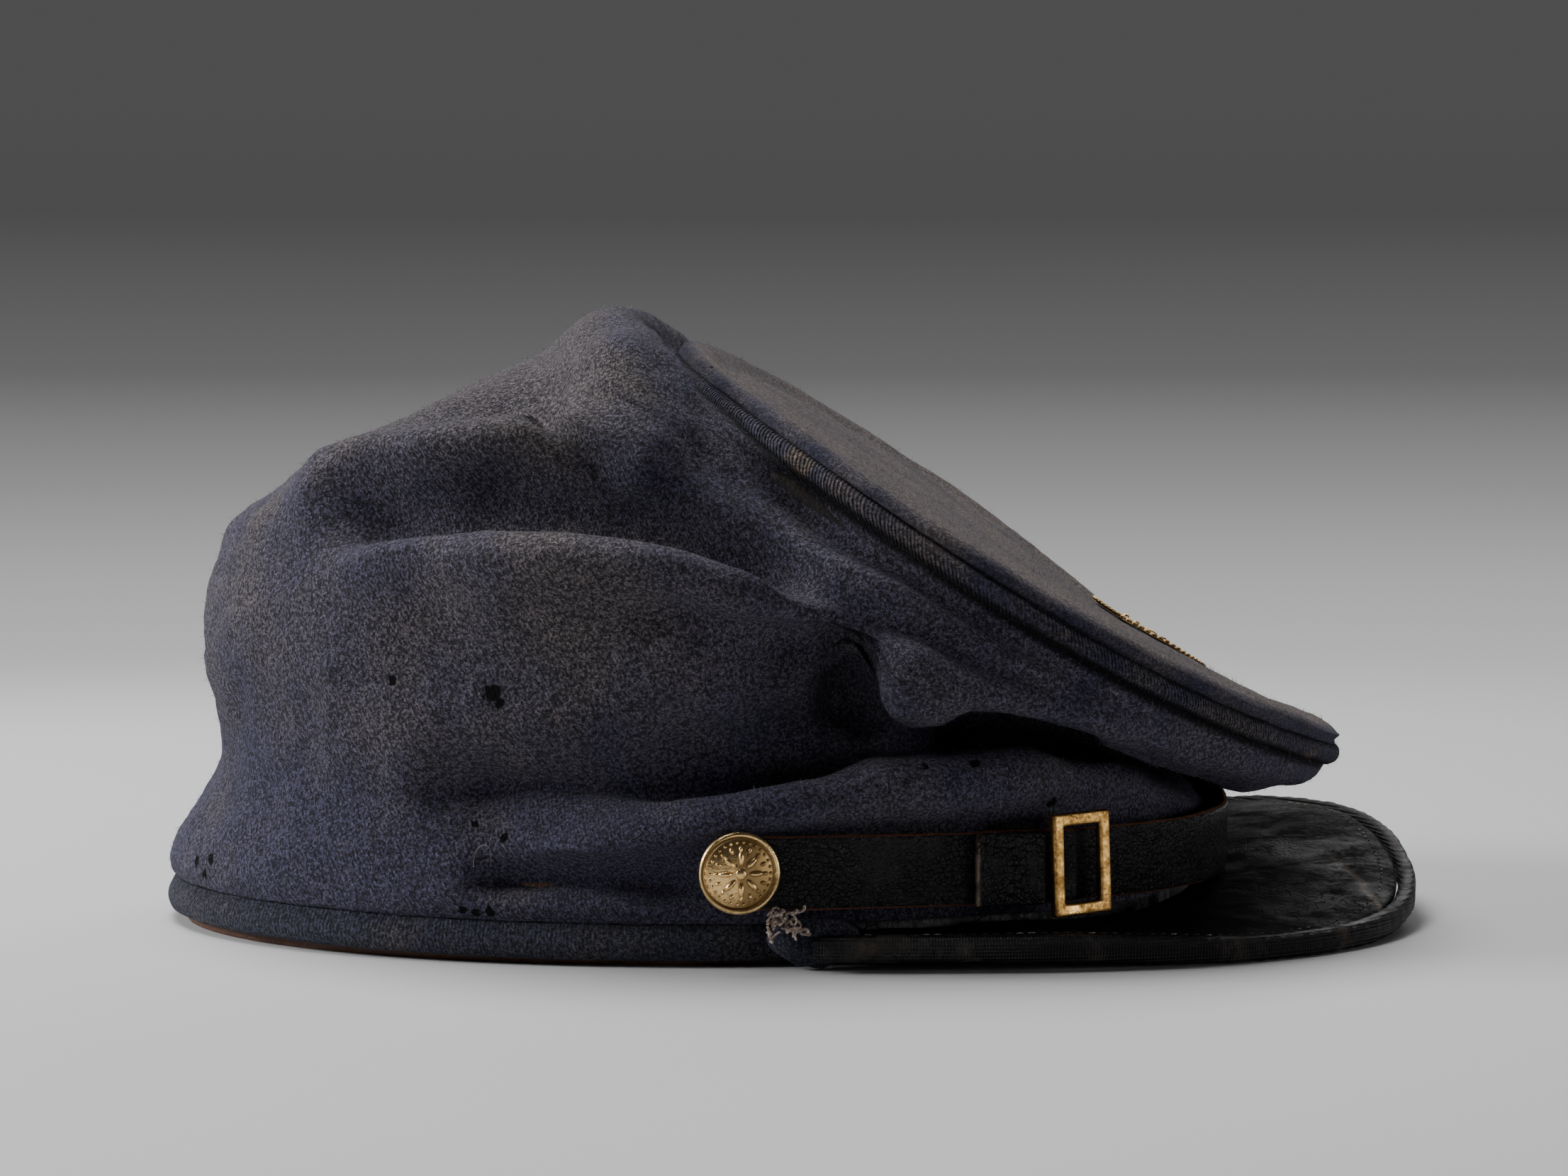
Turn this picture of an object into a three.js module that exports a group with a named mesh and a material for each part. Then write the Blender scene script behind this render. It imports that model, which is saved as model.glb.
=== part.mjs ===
import * as THREE from "three";

// Wool forage cap with a round tip sloping forward, a leather peak and a slide-buckle chin strap.
// Frame: millimetres, +X to the peak, +Z up, -Y is the wearer's right side. The cap rests on z = 0.

// ---- driving dimensions ----
const WALL = 1.8;
const GAP = 0.32;
const AROUND = 72;

const TIP = {
  x: 41.1,
  z: 69.2,
  pitch: 31.1,
  lean: 2.5,
  radius: 75.0,
  cos2: 1.55,
  sin2: -0.85,
  cos3: 0.8,
  sin3: -0.25,
  farDip: 5.2,
  sag: 3.6,
  sagForward: 38,
  sagAside: 12,
  sagReach: 34,
};
const PIPING_RADIUS = 1.65;

// Each row is one section of the cloth wall, from the hem up to the tip: x at the back and the
// front, half width, then the heights at the back, back quarter, side, front quarter and front.
// "lift" is the share of the peak's rise that the row follows, "lean" lowers the right side,
// "dip" is how far the row sags at the left front quarter.
const CROWN_ROWS = [
  { x: [-120.8, 81.6], half: 77.2, z: [8.2, 7.7, 7.2, 7.1, 7.2], lift: 1, lean: 0, dip: 0 },
  { x: [-122.2, 82.0], half: 78.2, z: [12, 12, 12, 12.5, 12], lift: 0.85, lean: 0, dip: 0 },
  { x: [-118.4, 82.0], half: 78.6, z: [20, 19.5, 20, 22, 18.8], lift: 0.55, lean: 0, dip: 0 },
  { x: [-111.4, 79.0], half: 79.6, z: [32, 30, 30.5, 35.5, 23.6], lift: 0.35, lean: 0, dip: 0 },
  { x: [-115.2, 62.0], half: 77.4, z: [53, 49, 42, 42.5, 32.0], lift: 0.3, lean: 0.5, dip: 0 },
  { x: [-111.4, 81.0], half: 79.2, z: [71.6, 69, 54, 45.0, 26.8], lift: 0.45, lean: 1.2, dip: 1 },
  { x: [-102.8, 91.0], half: 80.0, z: [81.4, 86, 67, 37.6, 24.6], lift: 0.5, lean: 2.4, dip: 3.5 },
  { x: [-62.0, 98.5], half: 77.6, z: [104.3, 97, 62, 36.4, 26.0], lift: 0.3, lean: 3.2, dip: 6.5 },
];
// The last rows follow the tip: radius and height in its frame, for most of the way and at the back.
const TIP_ROWS = [
  { radius: 75.6, height: -7.0, backRadius: 96.8, backHeight: -11.2 },
  { radius: 75.2, height: -4.1, backRadius: 94.2, backHeight: -1.5 },
  { radius: 75.4, height: -3.6, backRadius: 86.0, backHeight: 4.6 },
  { radius: 73.4, height: -2.5, backRadius: 75.0, backHeight: -2.6 },
];
const ROW_STEPS = [1, 2, 3, 4, 4, 3, 4, 2, 2, 2, 2];

// Folds run along x,z lines on one side of the wall: depth outward in mm (negative is a valley).
const RIGHT = -1;
const LEFT = 1;
const fold = (side, depth, width, ...line) => ({ side, depth, width, line });
const FOLDS = [
  fold(RIGHT, 3.5, 6, [-90, 87], [-79, 92], [-63, 95.4], [-52, 96], [-43.6, 98]),
  fold(RIGHT, -4.5, 6, [-84, 86], [-56.6, 85], [-28.8, 82.8], [-8, 75], [1, 69]),
  fold(RIGHT, 3.5, 6, [-75, 73], [-56, 77.4], [-35.5, 76.7], [-19, 74.7], [-8, 69]),
  fold(RIGHT, 3.5, 6, [3, 64.9], [8, 63], [20, 58.7], [34, 53], [45, 49], [61, 42]),
  fold(RIGHT, -4, 12, [-50, 60], [-20, 56], [0, 51]),
  fold(RIGHT, -9, 5.5, [9, 55], [11, 47], [13, 41]),
  fold(RIGHT, -9, 5, [25, 43], [38, 41.5], [52, 40]),
  fold(RIGHT, -3, 4.5, [-21.8, 36.5], [-8, 37], [7, 38.4]),
  fold(RIGHT, 2, 6, [-19, 31], [0, 33], [27, 34.5], [54, 35]),
  fold(RIGHT, -2.5, 6, [-57, 22.4], [-40, 20.3], [-18, 18]),
  fold(RIGHT, -1.6, 3, [18, 69], [38, 57], [56, 47.5]),
  fold(RIGHT, -3.5, 4.5, [-47, 106], [-48.5, 98], [-50, 90]),
  fold(RIGHT, 3, 8, [-37, 112], [-33, 102], [-29, 92]),
  fold(LEFT, 3.5, 7, [-90, 84], [-70, 92], [-50, 95]),
  fold(LEFT, -4, 7, [-75, 80], [-45, 78], [-15, 74], [5, 68]),
  fold(LEFT, 3.5, 7, [-70, 68], [-40, 68], [-10, 64], [15, 60], [40, 52], [60, 44]),
  fold(LEFT, -5, 9, [-45, 50], [-10, 47], [20, 45], [45, 42]),
  fold(LEFT, 2.5, 7, [-40, 30], [0, 32], [40, 35]),
];

const PEAK = {
  centreX: 20,
  radiusX: 98.4,
  halfWidth: 81.6,
  power: 2.3,
  thick: 2.6,
  rearX: 4,
};
const BINDING = { depth: 3.6, height: 5.0 };
const STRAP = { width: 13.2, thick: 1.5, centreX: -19, radiusX: 103.4, radiusY: 81.2, power: 2.2 };
const BUTTON = { x: -9.1, z: 18.0, radius: 7.4 };
const BUCKLE = { x: 49.6, z: 17.6, width: 12.6, height: 18.6, bar: 2.2, thick: 2.2, tilt: -3 };
const BADGE = { forward: 34.5, aside: 14.5, turn: 38, long: 36, wide: 11 };

// ---- colours ----
const felt = new THREE.MeshStandardMaterial({ color: 0x3a3a46, roughness: 0.95 });
const feltDisc = new THREE.MeshStandardMaterial({ color: 0x403f4a, roughness: 0.95 });
const feltPiping = new THREE.MeshStandardMaterial({ color: 0x2f3140, roughness: 0.95 });
const feltWelt = new THREE.MeshStandardMaterial({ color: 0x343543, roughness: 0.95 });
const russet = new THREE.MeshStandardMaterial({ color: 0x5a3020, roughness: 0.7 });
const blackLeather = new THREE.MeshStandardMaterial({ color: 0x131313, roughness: 0.4 });
const boundLeather = new THREE.MeshStandardMaterial({ color: 0x0d0d0d, roughness: 0.45 });
const patentLong = new THREE.MeshStandardMaterial({ color: 0x0a0a0b, roughness: 0.3 });
const patentFold = new THREE.MeshStandardMaterial({ color: 0x0b0b0c, roughness: 0.32 });
const patentShort = new THREE.MeshStandardMaterial({ color: 0x0c0c0d, roughness: 0.35 });
const brassBuckle = new THREE.MeshStandardMaterial({ color: 0xa07134, roughness: 0.4, metalness: 1 });
const brassRight = new THREE.MeshStandardMaterial({ color: 0x9a7a48, roughness: 0.4, metalness: 1 });
const brassLeft = new THREE.MeshStandardMaterial({ color: 0x9a7a4a, roughness: 0.4, metalness: 1 });
const brassBadge = new THREE.MeshStandardMaterial({ color: 0x8c6430, roughness: 0.5, metalness: 1 });

const group = new THREE.Group();
group.name = "kepi_cap";

function add(name, geometry, material) {
  const mesh = new THREE.Mesh(geometry, material);
  mesh.name = name;
  group.add(mesh);
}

// ---- small maths ----
const rad = (degrees) => (degrees * Math.PI) / 180;
const clamp01 = (v) => Math.min(1, Math.max(0, v));
// Eased step from 0 at a to 1 at b; a may be above b.
const smooth = (a, b, v) => {
  const s = clamp01((v - a) / (b - a));
  return s * s * (3 - 2 * s);
};
const vec = (x, y, z) => new THREE.Vector3(x, y, z);

// Grid of points closed around u; the solid between an outer and an inner grid, rims included.
function shell(outer, inner) {
  const rows = outer.length;
  const n = outer[0].length;
  const points = [...outer.flat(), ...inner.flat()];
  const at = (layer, j, i) => layer * rows * n + j * n + (i % n);
  const index = [];
  const quad = (a, b, c, d) => index.push(a, b, c, a, c, d);
  for (let i = 0; i < n; i++) {
    for (let j = 0; j < rows - 1; j++) {
      quad(at(0, j, i), at(0, j, i + 1), at(0, j + 1, i + 1), at(0, j + 1, i));
      quad(at(1, j, i), at(1, j + 1, i), at(1, j + 1, i + 1), at(1, j, i + 1));
    }
    quad(at(0, 0, i + 1), at(0, 0, i), at(1, 0, i), at(1, 0, i + 1));
    quad(at(0, rows - 1, i), at(0, rows - 1, i + 1), at(1, rows - 1, i + 1), at(1, rows - 1, i));
  }
  return fromPoints(points, index);
}

// Rings of section points swept along a path; closed loop, or capped at both ends.
function sweep(rings, closed) {
  const count = rings.length;
  const m = rings[0].length;
  const index = [];
  const at = (i, k) => (i % count) * m + (k % m);
  const spans = closed ? count : count - 1;
  for (let i = 0; i < spans; i++) {
    for (let k = 0; k < m; k++) {
      index.push(at(i, k), at(i + 1, k), at(i + 1, k + 1));
      index.push(at(i, k), at(i + 1, k + 1), at(i, k + 1));
    }
  }
  if (!closed) {
    for (let k = 1; k < m - 1; k++) {
      index.push(at(0, 0), at(0, k), at(0, k + 1));
      index.push(at(count - 1, 0), at(count - 1, k + 1), at(count - 1, k));
    }
  }
  return fromPoints(rings.flat(), index);
}

// Plate between two open grids of the same size, closed along all four edges.
function plate(top, bottom) {
  const rows = top.length;
  const n = top[0].length;
  const points = [...top.flat(), ...bottom.flat()];
  const at = (layer, j, i) => layer * rows * n + j * n + i;
  const index = [];
  const quad = (a, b, c, d) => index.push(a, b, c, a, c, d);
  for (let j = 0; j < rows - 1; j++) {
    for (let i = 0; i < n - 1; i++) {
      quad(at(0, j, i), at(0, j, i + 1), at(0, j + 1, i + 1), at(0, j + 1, i));
      quad(at(1, j, i), at(1, j + 1, i), at(1, j + 1, i + 1), at(1, j, i + 1));
    }
  }
  for (let i = 0; i < n - 1; i++) {
    quad(at(1, 0, i), at(1, 0, i + 1), at(0, 0, i + 1), at(0, 0, i));
    quad(at(0, rows - 1, i), at(0, rows - 1, i + 1), at(1, rows - 1, i + 1), at(1, rows - 1, i));
  }
  for (let j = 0; j < rows - 1; j++) {
    quad(at(1, j + 1, 0), at(1, j, 0), at(0, j, 0), at(0, j + 1, 0));
    quad(at(0, j + 1, n - 1), at(0, j, n - 1), at(1, j, n - 1), at(1, j + 1, n - 1));
  }
  return fromPoints(points, index);
}

// Indexed geometry, turned outward if its signed volume is negative.
function fromPoints(points, index) {
  let volume = 0;
  for (let k = 0; k < index.length; k += 3) {
    const [a, b, c] = [points[index[k]], points[index[k + 1]], points[index[k + 2]]];
    volume += a.dot(vec(0, 0, 0).crossVectors(b, c));
  }
  if (volume < 0) {
    for (let k = 0; k < index.length; k += 3) {
      const keep = index[k + 1];
      index[k + 1] = index[k + 2];
      index[k + 2] = keep;
    }
  }
  const geometry = new THREE.BufferGeometry();
  const flat = points.flatMap((p) => [p.x, p.y, p.z]);
  geometry.setAttribute("position", new THREE.Float32BufferAttribute(flat, 3));
  geometry.setIndex(index);
  geometry.computeVertexNormals();
  return geometry;
}

// ---- the tip's plane ----
// 1 at the left front quarter, where the tip sags, easing to 0 around it.
function farFront(t) {
  const wrapped = Math.atan2(Math.sin(t), Math.cos(t));
  return Math.exp(-(((wrapped - 0.8) / 0.43) ** 2));
}

// Point of the tip's frame at angle t (0 is the front), at a radius and a height above its plane.
function tipPoint(t, radius, height) {
  const pitch = rad(TIP.pitch);
  const lean = rad(TIP.lean);
  const along = vec(Math.cos(pitch), 0, -Math.sin(pitch));
  const flatUp = vec(Math.sin(pitch), 0, Math.cos(pitch));
  const across = vec(0, Math.cos(lean), 0).addScaledVector(flatUp, Math.sin(lean));
  const up = vec(0, 0, 0).crossVectors(along, across);
  const share = (radius / TIP.radius) ** 2;
  const warp =
    TIP.cos2 * Math.cos(2 * t) +
    TIP.sin2 * Math.sin(2 * t) +
    TIP.cos3 * Math.cos(3 * t) +
    TIP.sin3 * Math.sin(3 * t);
  const forward = radius * Math.cos(t) - TIP.sagForward;
  const aside = radius * Math.sin(t) - TIP.sagAside;
  const sag = TIP.sag * Math.exp(-(forward ** 2 + aside ** 2) / TIP.sagReach ** 2);
  const dip = TIP.farDip * farFront(t) * smooth(5, 50, radius) + sag;
  return vec(TIP.x, 0, TIP.z)
    .addScaledVector(along, radius * Math.cos(t))
    .addScaledVector(across, radius * Math.sin(t))
    .addScaledVector(up, height + share * warp - dip);
}

// ---- the peak's upper surface ----
function peakTop(x, y) {
  const far = smooth(-62, 42, y);
  const forward = smooth(20, 116, x);
  const nose = smooth(96, 124, x);
  return 6.2 - 2.2 * smooth(40, 92, x) + 13.6 * far * forward - 1.2 * nose;
}

// ---- crown wall ----
// Even cosine series through five heights, at the back, the quarters, the side and the front.
function heightAround(row, t) {
  const f = [...row.z].reverse();
  let z = 0;
  for (let k = 0; k <= 4; k++) {
    let a = 0;
    for (let j = 0; j <= 4; j++) {
      const end = j === 0 || j === 4 ? 0.5 : 1;
      a += end * f[j] * Math.cos((k * j * Math.PI) / 4);
    }
    const half = k === 0 || k === 4 ? 0.25 : 0.5;
    z += half * a * Math.cos(k * t);
  }
  return z;
}

function rowPoint(row, t) {
  const [back, front] = row.x;
  const centre = (back + front) / 2;
  const reach = (front - back) / 2;
  const x = centre + reach * Math.cos(t);
  const y = row.half * Math.sin(t);
  const follow = row.dip ? 1 - 0.75 * smooth(15, 55, y) : 1;
  const rise = follow * Math.max(0, peakTop(x, y) - peakTop(0, -80));
  const sag = row.dip * farFront(t);
  const z = heightAround(row, t) + row.lean * Math.sin(t) + row.lift * rise - sag;
  return vec(x, y, z);
}

function catmull(a, b, c, d, s) {
  const f = (p0, p1, p2, p3) =>
    0.5 *
    (2 * p1 +
      (p2 - p0) * s +
      (2 * p0 - 5 * p1 + 4 * p2 - p3) * s * s +
      (3 * p1 - p0 - 3 * p2 + p3) * s * s * s);
  return vec(f(a.x, b.x, c.x, d.x), f(a.y, b.y, c.y, d.y), f(a.z, b.z, c.z, d.z));
}

function distanceToLine(x, z, line) {
  let best = 1e9;
  for (let k = 0; k < line.length - 1; k++) {
    const [ax, az] = line[k];
    const [bx, bz] = line[k + 1];
    const dx = bx - ax;
    const dz = bz - az;
    const s = clamp01(((x - ax) * dx + (z - az) * dz) / (dx * dx + dz * dz));
    best = Math.min(best, Math.hypot(x - ax - s * dx, z - az - s * dz));
  }
  return best;
}

function foldDepth(p) {
  let depth = 0;
  for (const f of FOLDS) {
    const onSide = smooth(6, 30, p.y * f.side);
    if (onSide > 0) {
      const d = distanceToLine(p.x, p.z, f.line) / f.width;
      depth += onSide * f.depth * Math.exp(-d * d);
    }
  }
  return depth;
}

// Outward normals of a grid that is closed around u.
function gridNormals(grid) {
  const rows = grid.length;
  const n = grid[0].length;
  return grid.map((ring, j) =>
    ring.map((p, i) => {
      const du = vec(0, 0, 0).subVectors(ring[(i + 1) % n], ring[(i + n - 1) % n]);
      const above = grid[Math.min(rows - 1, j + 1)][i];
      const below = grid[Math.max(0, j - 1)][i];
      const dv = vec(0, 0, 0).subVectors(above, below);
      return vec(0, 0, 0).crossVectors(du, dv).normalize();
    }),
  );
}

function offsetGrid(grid, normals, amount) {
  return grid.map((ring, j) =>
    ring.map((p, i) => p.clone().addScaledVector(normals[j][i], amount(j, i))),
  );
}

function crownGrid() {
  const columns = [];
  for (let i = 0; i < AROUND; i++) {
    const t = (2 * Math.PI * i) / AROUND;
    const stops = CROWN_ROWS.map((row) => rowPoint(row, t));
    const behind = smooth(-0.5, -1, Math.cos(t));
    for (const row of TIP_ROWS) {
      const radius = row.radius + (row.backRadius - row.radius) * behind;
      const height = row.height + (row.backHeight - row.height) * behind;
      stops.push(tipPoint(t, radius, height));
    }
    const column = [];
    for (let k = 0; k < stops.length - 1; k++) {
      const a = stops[Math.max(0, k - 1)];
      const d = stops[Math.min(stops.length - 1, k + 2)];
      for (let s = 0; s < ROW_STEPS[k]; s++) {
        column.push(catmull(a, stops[k], stops[k + 1], d, s / ROW_STEPS[k]));
      }
    }
    column.push(stops[stops.length - 1]);
    columns.push(column);
  }
  const rows = columns[0].length;
  const base = [];
  for (let j = 0; j < rows; j++) base.push(columns.map((column) => column[j]));
  const normals = gridNormals(base);
  const fade = (j) => smooth(0, 4, j) * smooth(1, 7, rows - 1 - j);
  return offsetGrid(base, normals, (j, i) => fade(j) * foldDepth(base[j][i]));
}

const crownOuter = crownGrid();
const crownNormals = gridNormals(crownOuter);
const crownInner = offsetGrid(crownOuter, crownNormals, () => -WALL);
add("crown_side", shell(crownOuter, crownInner), felt);

// ---- tip disc and its piping ----
const DISC_LIFT = PIPING_RADIUS + GAP - 0.35;
const discProfile = [
  [14, 2.9],
  [30, 2.9],
  [46, 2.85],
  [60, 2.8],
  [70, 2.8],
  [72.6, 2.6],
  [73.9, 2.0],
  [74.1, 1.5],
  [73.4, 0.7],
  [71.6, 0.3],
  [45, 0.5],
  [20, 0.6],
];
const discRings = discProfile.map(([r, h]) => {
  const ring = [];
  for (let i = 0; i < AROUND; i++) {
    ring.push(tipPoint((2 * Math.PI * i) / AROUND, r, h + DISC_LIFT));
  }
  return ring;
});

function discGeometry(rings, topPoint, bottomPoint) {
  const n = rings[0].length;
  const points = [...rings.flat(), topPoint, bottomPoint];
  const top = points.length - 2;
  const bottom = points.length - 1;
  const last = (rings.length - 1) * n;
  const index = [];
  for (let i = 0; i < n; i++) {
    const k = (i + 1) % n;
    index.push(top, i, k);
    for (let j = 0; j < rings.length - 1; j++) {
      const a = j * n;
      const b = a + n;
      index.push(a + i, b + i, b + k, a + i, b + k, a + k);
    }
    index.push(last + i, bottom, last + k);
  }
  return fromPoints(points, index);
}

add(
  "crown_disc",
  discGeometry(
    discRings,
    tipPoint(0, 0, 2.9 + DISC_LIFT),
    tipPoint(0, 0, 0.7 + DISC_LIFT),
  ),
  feltDisc,
);

const pipingRings = [];
for (let i = 0; i < AROUND; i++) {
  const t = (2 * Math.PI * i) / AROUND;
  const ring = [];
  for (let k = 0; k < 10; k++) {
    const a = (2 * Math.PI * k) / 10;
    const r = TIP.radius - 0.6 + PIPING_RADIUS * Math.cos(a);
    ring.push(tipPoint(t, r, PIPING_RADIUS * Math.sin(a)));
  }
  pipingRings.push(ring);
}
add("disc_piping", sweep(pipingRings, true), feltPiping);

// ---- welt along the hem, open where the peak takes over ----
const weltSection = [
  [-2.0, 0.3],
  [-0.6, 0.0],
  [0.5, 0.5],
  [1.1, 1.8],
  [1.1, 3.6],
  [0.4, 5.3],
  [-0.8, 5.8],
  [-2.0, 5.6],
];
const WELT_BOTTOM = 0.9;
const weltRings = [];
const WELT_STEPS = 56;
const weltStart = rad(78.2);
for (let i = 0; i <= WELT_STEPS; i++) {
  const t = weltStart + ((2 * Math.PI - 2 * weltStart) * i) / WELT_STEPS;
  const base = rowPoint(CROWN_ROWS[0], t);
  const out = vec(Math.cos(t) / 101, Math.sin(t) / 77.2, 0).normalize();
  const ring = weltSection.map(([r, z]) =>
    vec(base.x + r * out.x, base.y + r * out.y, base.z - 7.2 + WELT_BOTTOM + z * 0.97),
  );
  weltRings.push(ring);
}
add("base_welt", sweep(weltRings, false), feltWelt);

// ---- sweatband inside the hem ----
// Height and inset of each row of the band; it leans inward and bends up under the peak.
const BAND_ROWS = [
  [0, 2.5],
  [7, 2.8],
  [14, 4.7],
  [20, 7.5],
];
const BAND_THICK = 1.3;
const bandOuter = [];
const bandInner = [];
for (const [z, inset] of BAND_ROWS) {
  const outerRing = [];
  const innerRing = [];
  for (let i = 0; i < AROUND; i++) {
    const t = (2 * Math.PI * i) / AROUND;
    const base = rowPoint(CROWN_ROWS[0], t);
    const out = vec(Math.cos(t) / 101, Math.sin(t) / 77.2, 0).normalize();
    const r = inset + 4.2 * smooth(0.2, 1, Math.cos(t));
    const rise = 0.85 * Math.max(0, base.z - 8.4) * (0.6 + z / 60);
    const p = vec(base.x, base.y, z + rise);
    outerRing.push(p.clone().addScaledVector(out, -r));
    innerRing.push(p.clone().addScaledVector(out, -r - BAND_THICK));
  }
  bandOuter.push(outerRing);
  bandInner.push(innerRing);
}
add("sweatband", shell(bandOuter, bandInner), russet);

// ---- peak and its binding ----
function peakOutline(s, grow) {
  // s from -1 (right rear end) to 1 (left rear end), along a rounded outline
  const straight = (PEAK.centreX - PEAK.rearX) / (PEAK.centreX - PEAK.rearX + 1.9 * PEAK.halfWidth);
  const side = Math.sign(s) || 1;
  const from = Math.abs(s);
  const rx = PEAK.radiusX + grow;
  const ry = PEAK.halfWidth + grow;
  if (from > 1 - straight) {
    const k = (from - (1 - straight)) / straight;
    return vec(PEAK.centreX - k * (PEAK.centreX - PEAK.rearX), side * ry, 0);
  }
  const a = (from / (1 - straight)) * (Math.PI / 2);
  const c = Math.cos(a) ** (2 / PEAK.power);
  const d = Math.sin(a) ** (2 / PEAK.power);
  return vec(PEAK.centreX + rx * c, side * ry * d, 0);
}

const PEAK_STEPS = 48;
const PEAK_ACROSS = 5;
const peakUpper = [];
const peakLower = [];
for (let j = 0; j <= PEAK_ACROSS; j++) {
  const upper = [];
  const lower = [];
  for (let i = 0; i <= PEAK_STEPS; i++) {
    const s = -1 + (2 * i) / PEAK_STEPS;
    const outside = peakOutline(s, 0);
    const t = Math.atan2(outside.y / 76.0, (outside.x + 19.4) / 99.5);
    const inside = vec(-19.4 + 99.5 * Math.cos(t), 76.0 * Math.sin(t), 0);
    const p = inside.lerp(outside, j / PEAK_ACROSS);
    const z = peakTop(p.x, p.y);
    upper.push(vec(p.x, p.y, z));
    lower.push(vec(p.x, p.y, z - PEAK.thick));
  }
  peakUpper.push(upper);
  peakLower.push(lower);
}
add("peak", plate(peakUpper, peakLower), blackLeather);

const bindingRings = [];
for (let i = 0; i <= PEAK_STEPS; i++) {
  const s = -1 + (2 * i) / PEAK_STEPS;
  const here = peakOutline(s, 0);
  const ahead = peakOutline(Math.min(1, s + 0.01), 0);
  const behind = peakOutline(Math.max(-1, s - 0.01), 0);
  const along = vec(0, 0, 0).subVectors(ahead, behind).normalize();
  const out = vec(along.y, -along.x, 0);
  const middle = peakTop(here.x, here.y) - PEAK.thick / 2;
  const ring = [];
  for (let k = 0; k < 10; k++) {
    const a = (2 * Math.PI * k) / 10;
    const c = Math.cos(a);
    const d = Math.sin(a);
    const r = GAP + BINDING.depth / 2 + (BINDING.depth / 2) * Math.sign(c) * Math.abs(c) ** 0.7;
    const z = (BINDING.height / 2) * Math.sign(d) * Math.abs(d) ** 0.7;
    ring.push(vec(here.x + r * out.x, here.y + r * out.y, Math.max(0, middle + z - 0.6)));
  }
  bindingRings.push(ring);
}
add("peak_binding", sweep(bindingRings, false), boundLeather);

// ---- chin strap ----
// Position and outward direction on the strap's rounded oval at angle t.
function strapOval(t) {
  const e = 2 / STRAP.power;
  const c = Math.cos(t);
  const d = Math.sin(t);
  const x = STRAP.centreX + STRAP.radiusX * Math.sign(c) * Math.abs(c) ** e;
  const y = STRAP.radiusY * Math.sign(d) * Math.abs(d) ** e;
  const nx = (Math.sign(c) * Math.abs(c) ** (2 - e)) / STRAP.radiusX;
  const ny = (Math.sign(d) * Math.abs(d) ** (2 - e)) / STRAP.radiusY;
  return { x, y, n: vec(nx, ny, 0).normalize() };
}

function strapPoint(t, out, up) {
  const { x, y, n } = strapOval(t);
  const level = 17.6 - 0.9 * smooth(0.3, 0.9, Math.cos(t));
  const z = Math.max(level, peakTop(x, y) + STRAP.width / 2 + GAP);
  return vec(x + out * n.x, y + out * n.y, z + up);
}

function strapPiece(from, to, steps, out) {
  const rings = [];
  const h = STRAP.width / 2;
  const w = STRAP.thick;
  for (let i = 0; i <= steps; i++) {
    const t = rad(from + ((to - from) * i) / steps);
    rings.push([
      strapPoint(t, out, -h + 0.3),
      strapPoint(t, out + w * 0.5, -h),
      strapPoint(t, out + w, -h + 0.4),
      strapPoint(t, out + w, h - 0.4),
      strapPoint(t, out + w * 0.5, h),
      strapPoint(t, out, h - 0.3),
    ]);
  }
  return sweep(rings, false);
}

// Angle on the strap's oval, in degrees, for a given x on the right side.
function strapAngle(x) {
  const c = (x - STRAP.centreX) / STRAP.radiusX;
  return (-Math.acos(Math.sign(c) * Math.abs(c) ** (STRAP.power / 2)) * 180) / Math.PI;
}

const LAYER = STRAP.thick + GAP;
add("strap_long", strapPiece(strapAngle(33.5), 88, 56, 0), patentLong);
add("strap_short", strapPiece(strapAngle(-12), strapAngle(50), 20, LAYER), patentShort);
add("strap_fold", strapPiece(strapAngle(31.6), strapAngle(43.4), 6, LAYER * 2), patentFold);

// ---- buttons ----
function buttonGeometry(side) {
  const r = BUTTON.radius;
  const profile = [
    [0, 0],
    [r * 0.55, 0],
    [r * 0.93, 0.5],
    [r, 1.3],
    [r * 0.98, 2.0],
    [r * 0.9, 2.3],
    [r * 0.82, 1.95],
    [r * 0.6, 2.9],
    [r * 0.3, 3.5],
    [0, 3.7],
  ].map(([x, y]) => new THREE.Vector2(x, y));
  const lathe = new THREE.LatheGeometry(profile, 40);
  if (side < 0) lathe.rotateX(Math.PI);
  const t = rad(side * 84);
  const centre = strapPoint(t, LAYER * 2, 0);
  const y = side * (Math.abs(centre.y) + 0.3);
  lathe.translate(BUTTON.x, y, BUTTON.z);
  return lathe;
}
add("button_right", buttonGeometry(-1), brassRight);
add("button_left", buttonGeometry(1), brassLeft);

// ---- slide buckle ----
function frameShape(width, height, bar) {
  const corner = 1.4;
  const box = (w, h, r) => {
    const s = new THREE.Shape();
    s.moveTo(-w / 2 + r, -h / 2);
    s.lineTo(w / 2 - r, -h / 2);
    s.quadraticCurveTo(w / 2, -h / 2, w / 2, -h / 2 + r);
    s.lineTo(w / 2, h / 2 - r);
    s.quadraticCurveTo(w / 2, h / 2, w / 2 - r, h / 2);
    s.lineTo(-w / 2 + r, h / 2);
    s.quadraticCurveTo(-w / 2, h / 2, -w / 2, h / 2 - r);
    s.lineTo(-w / 2, -h / 2 + r);
    s.quadraticCurveTo(-w / 2, -h / 2, -w / 2 + r, -h / 2);
    return s;
  };
  const outline = box(width, height, corner);
  outline.holes.push(box(width - 2 * bar, height - 2 * bar, 0.5));
  return outline;
}

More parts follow.
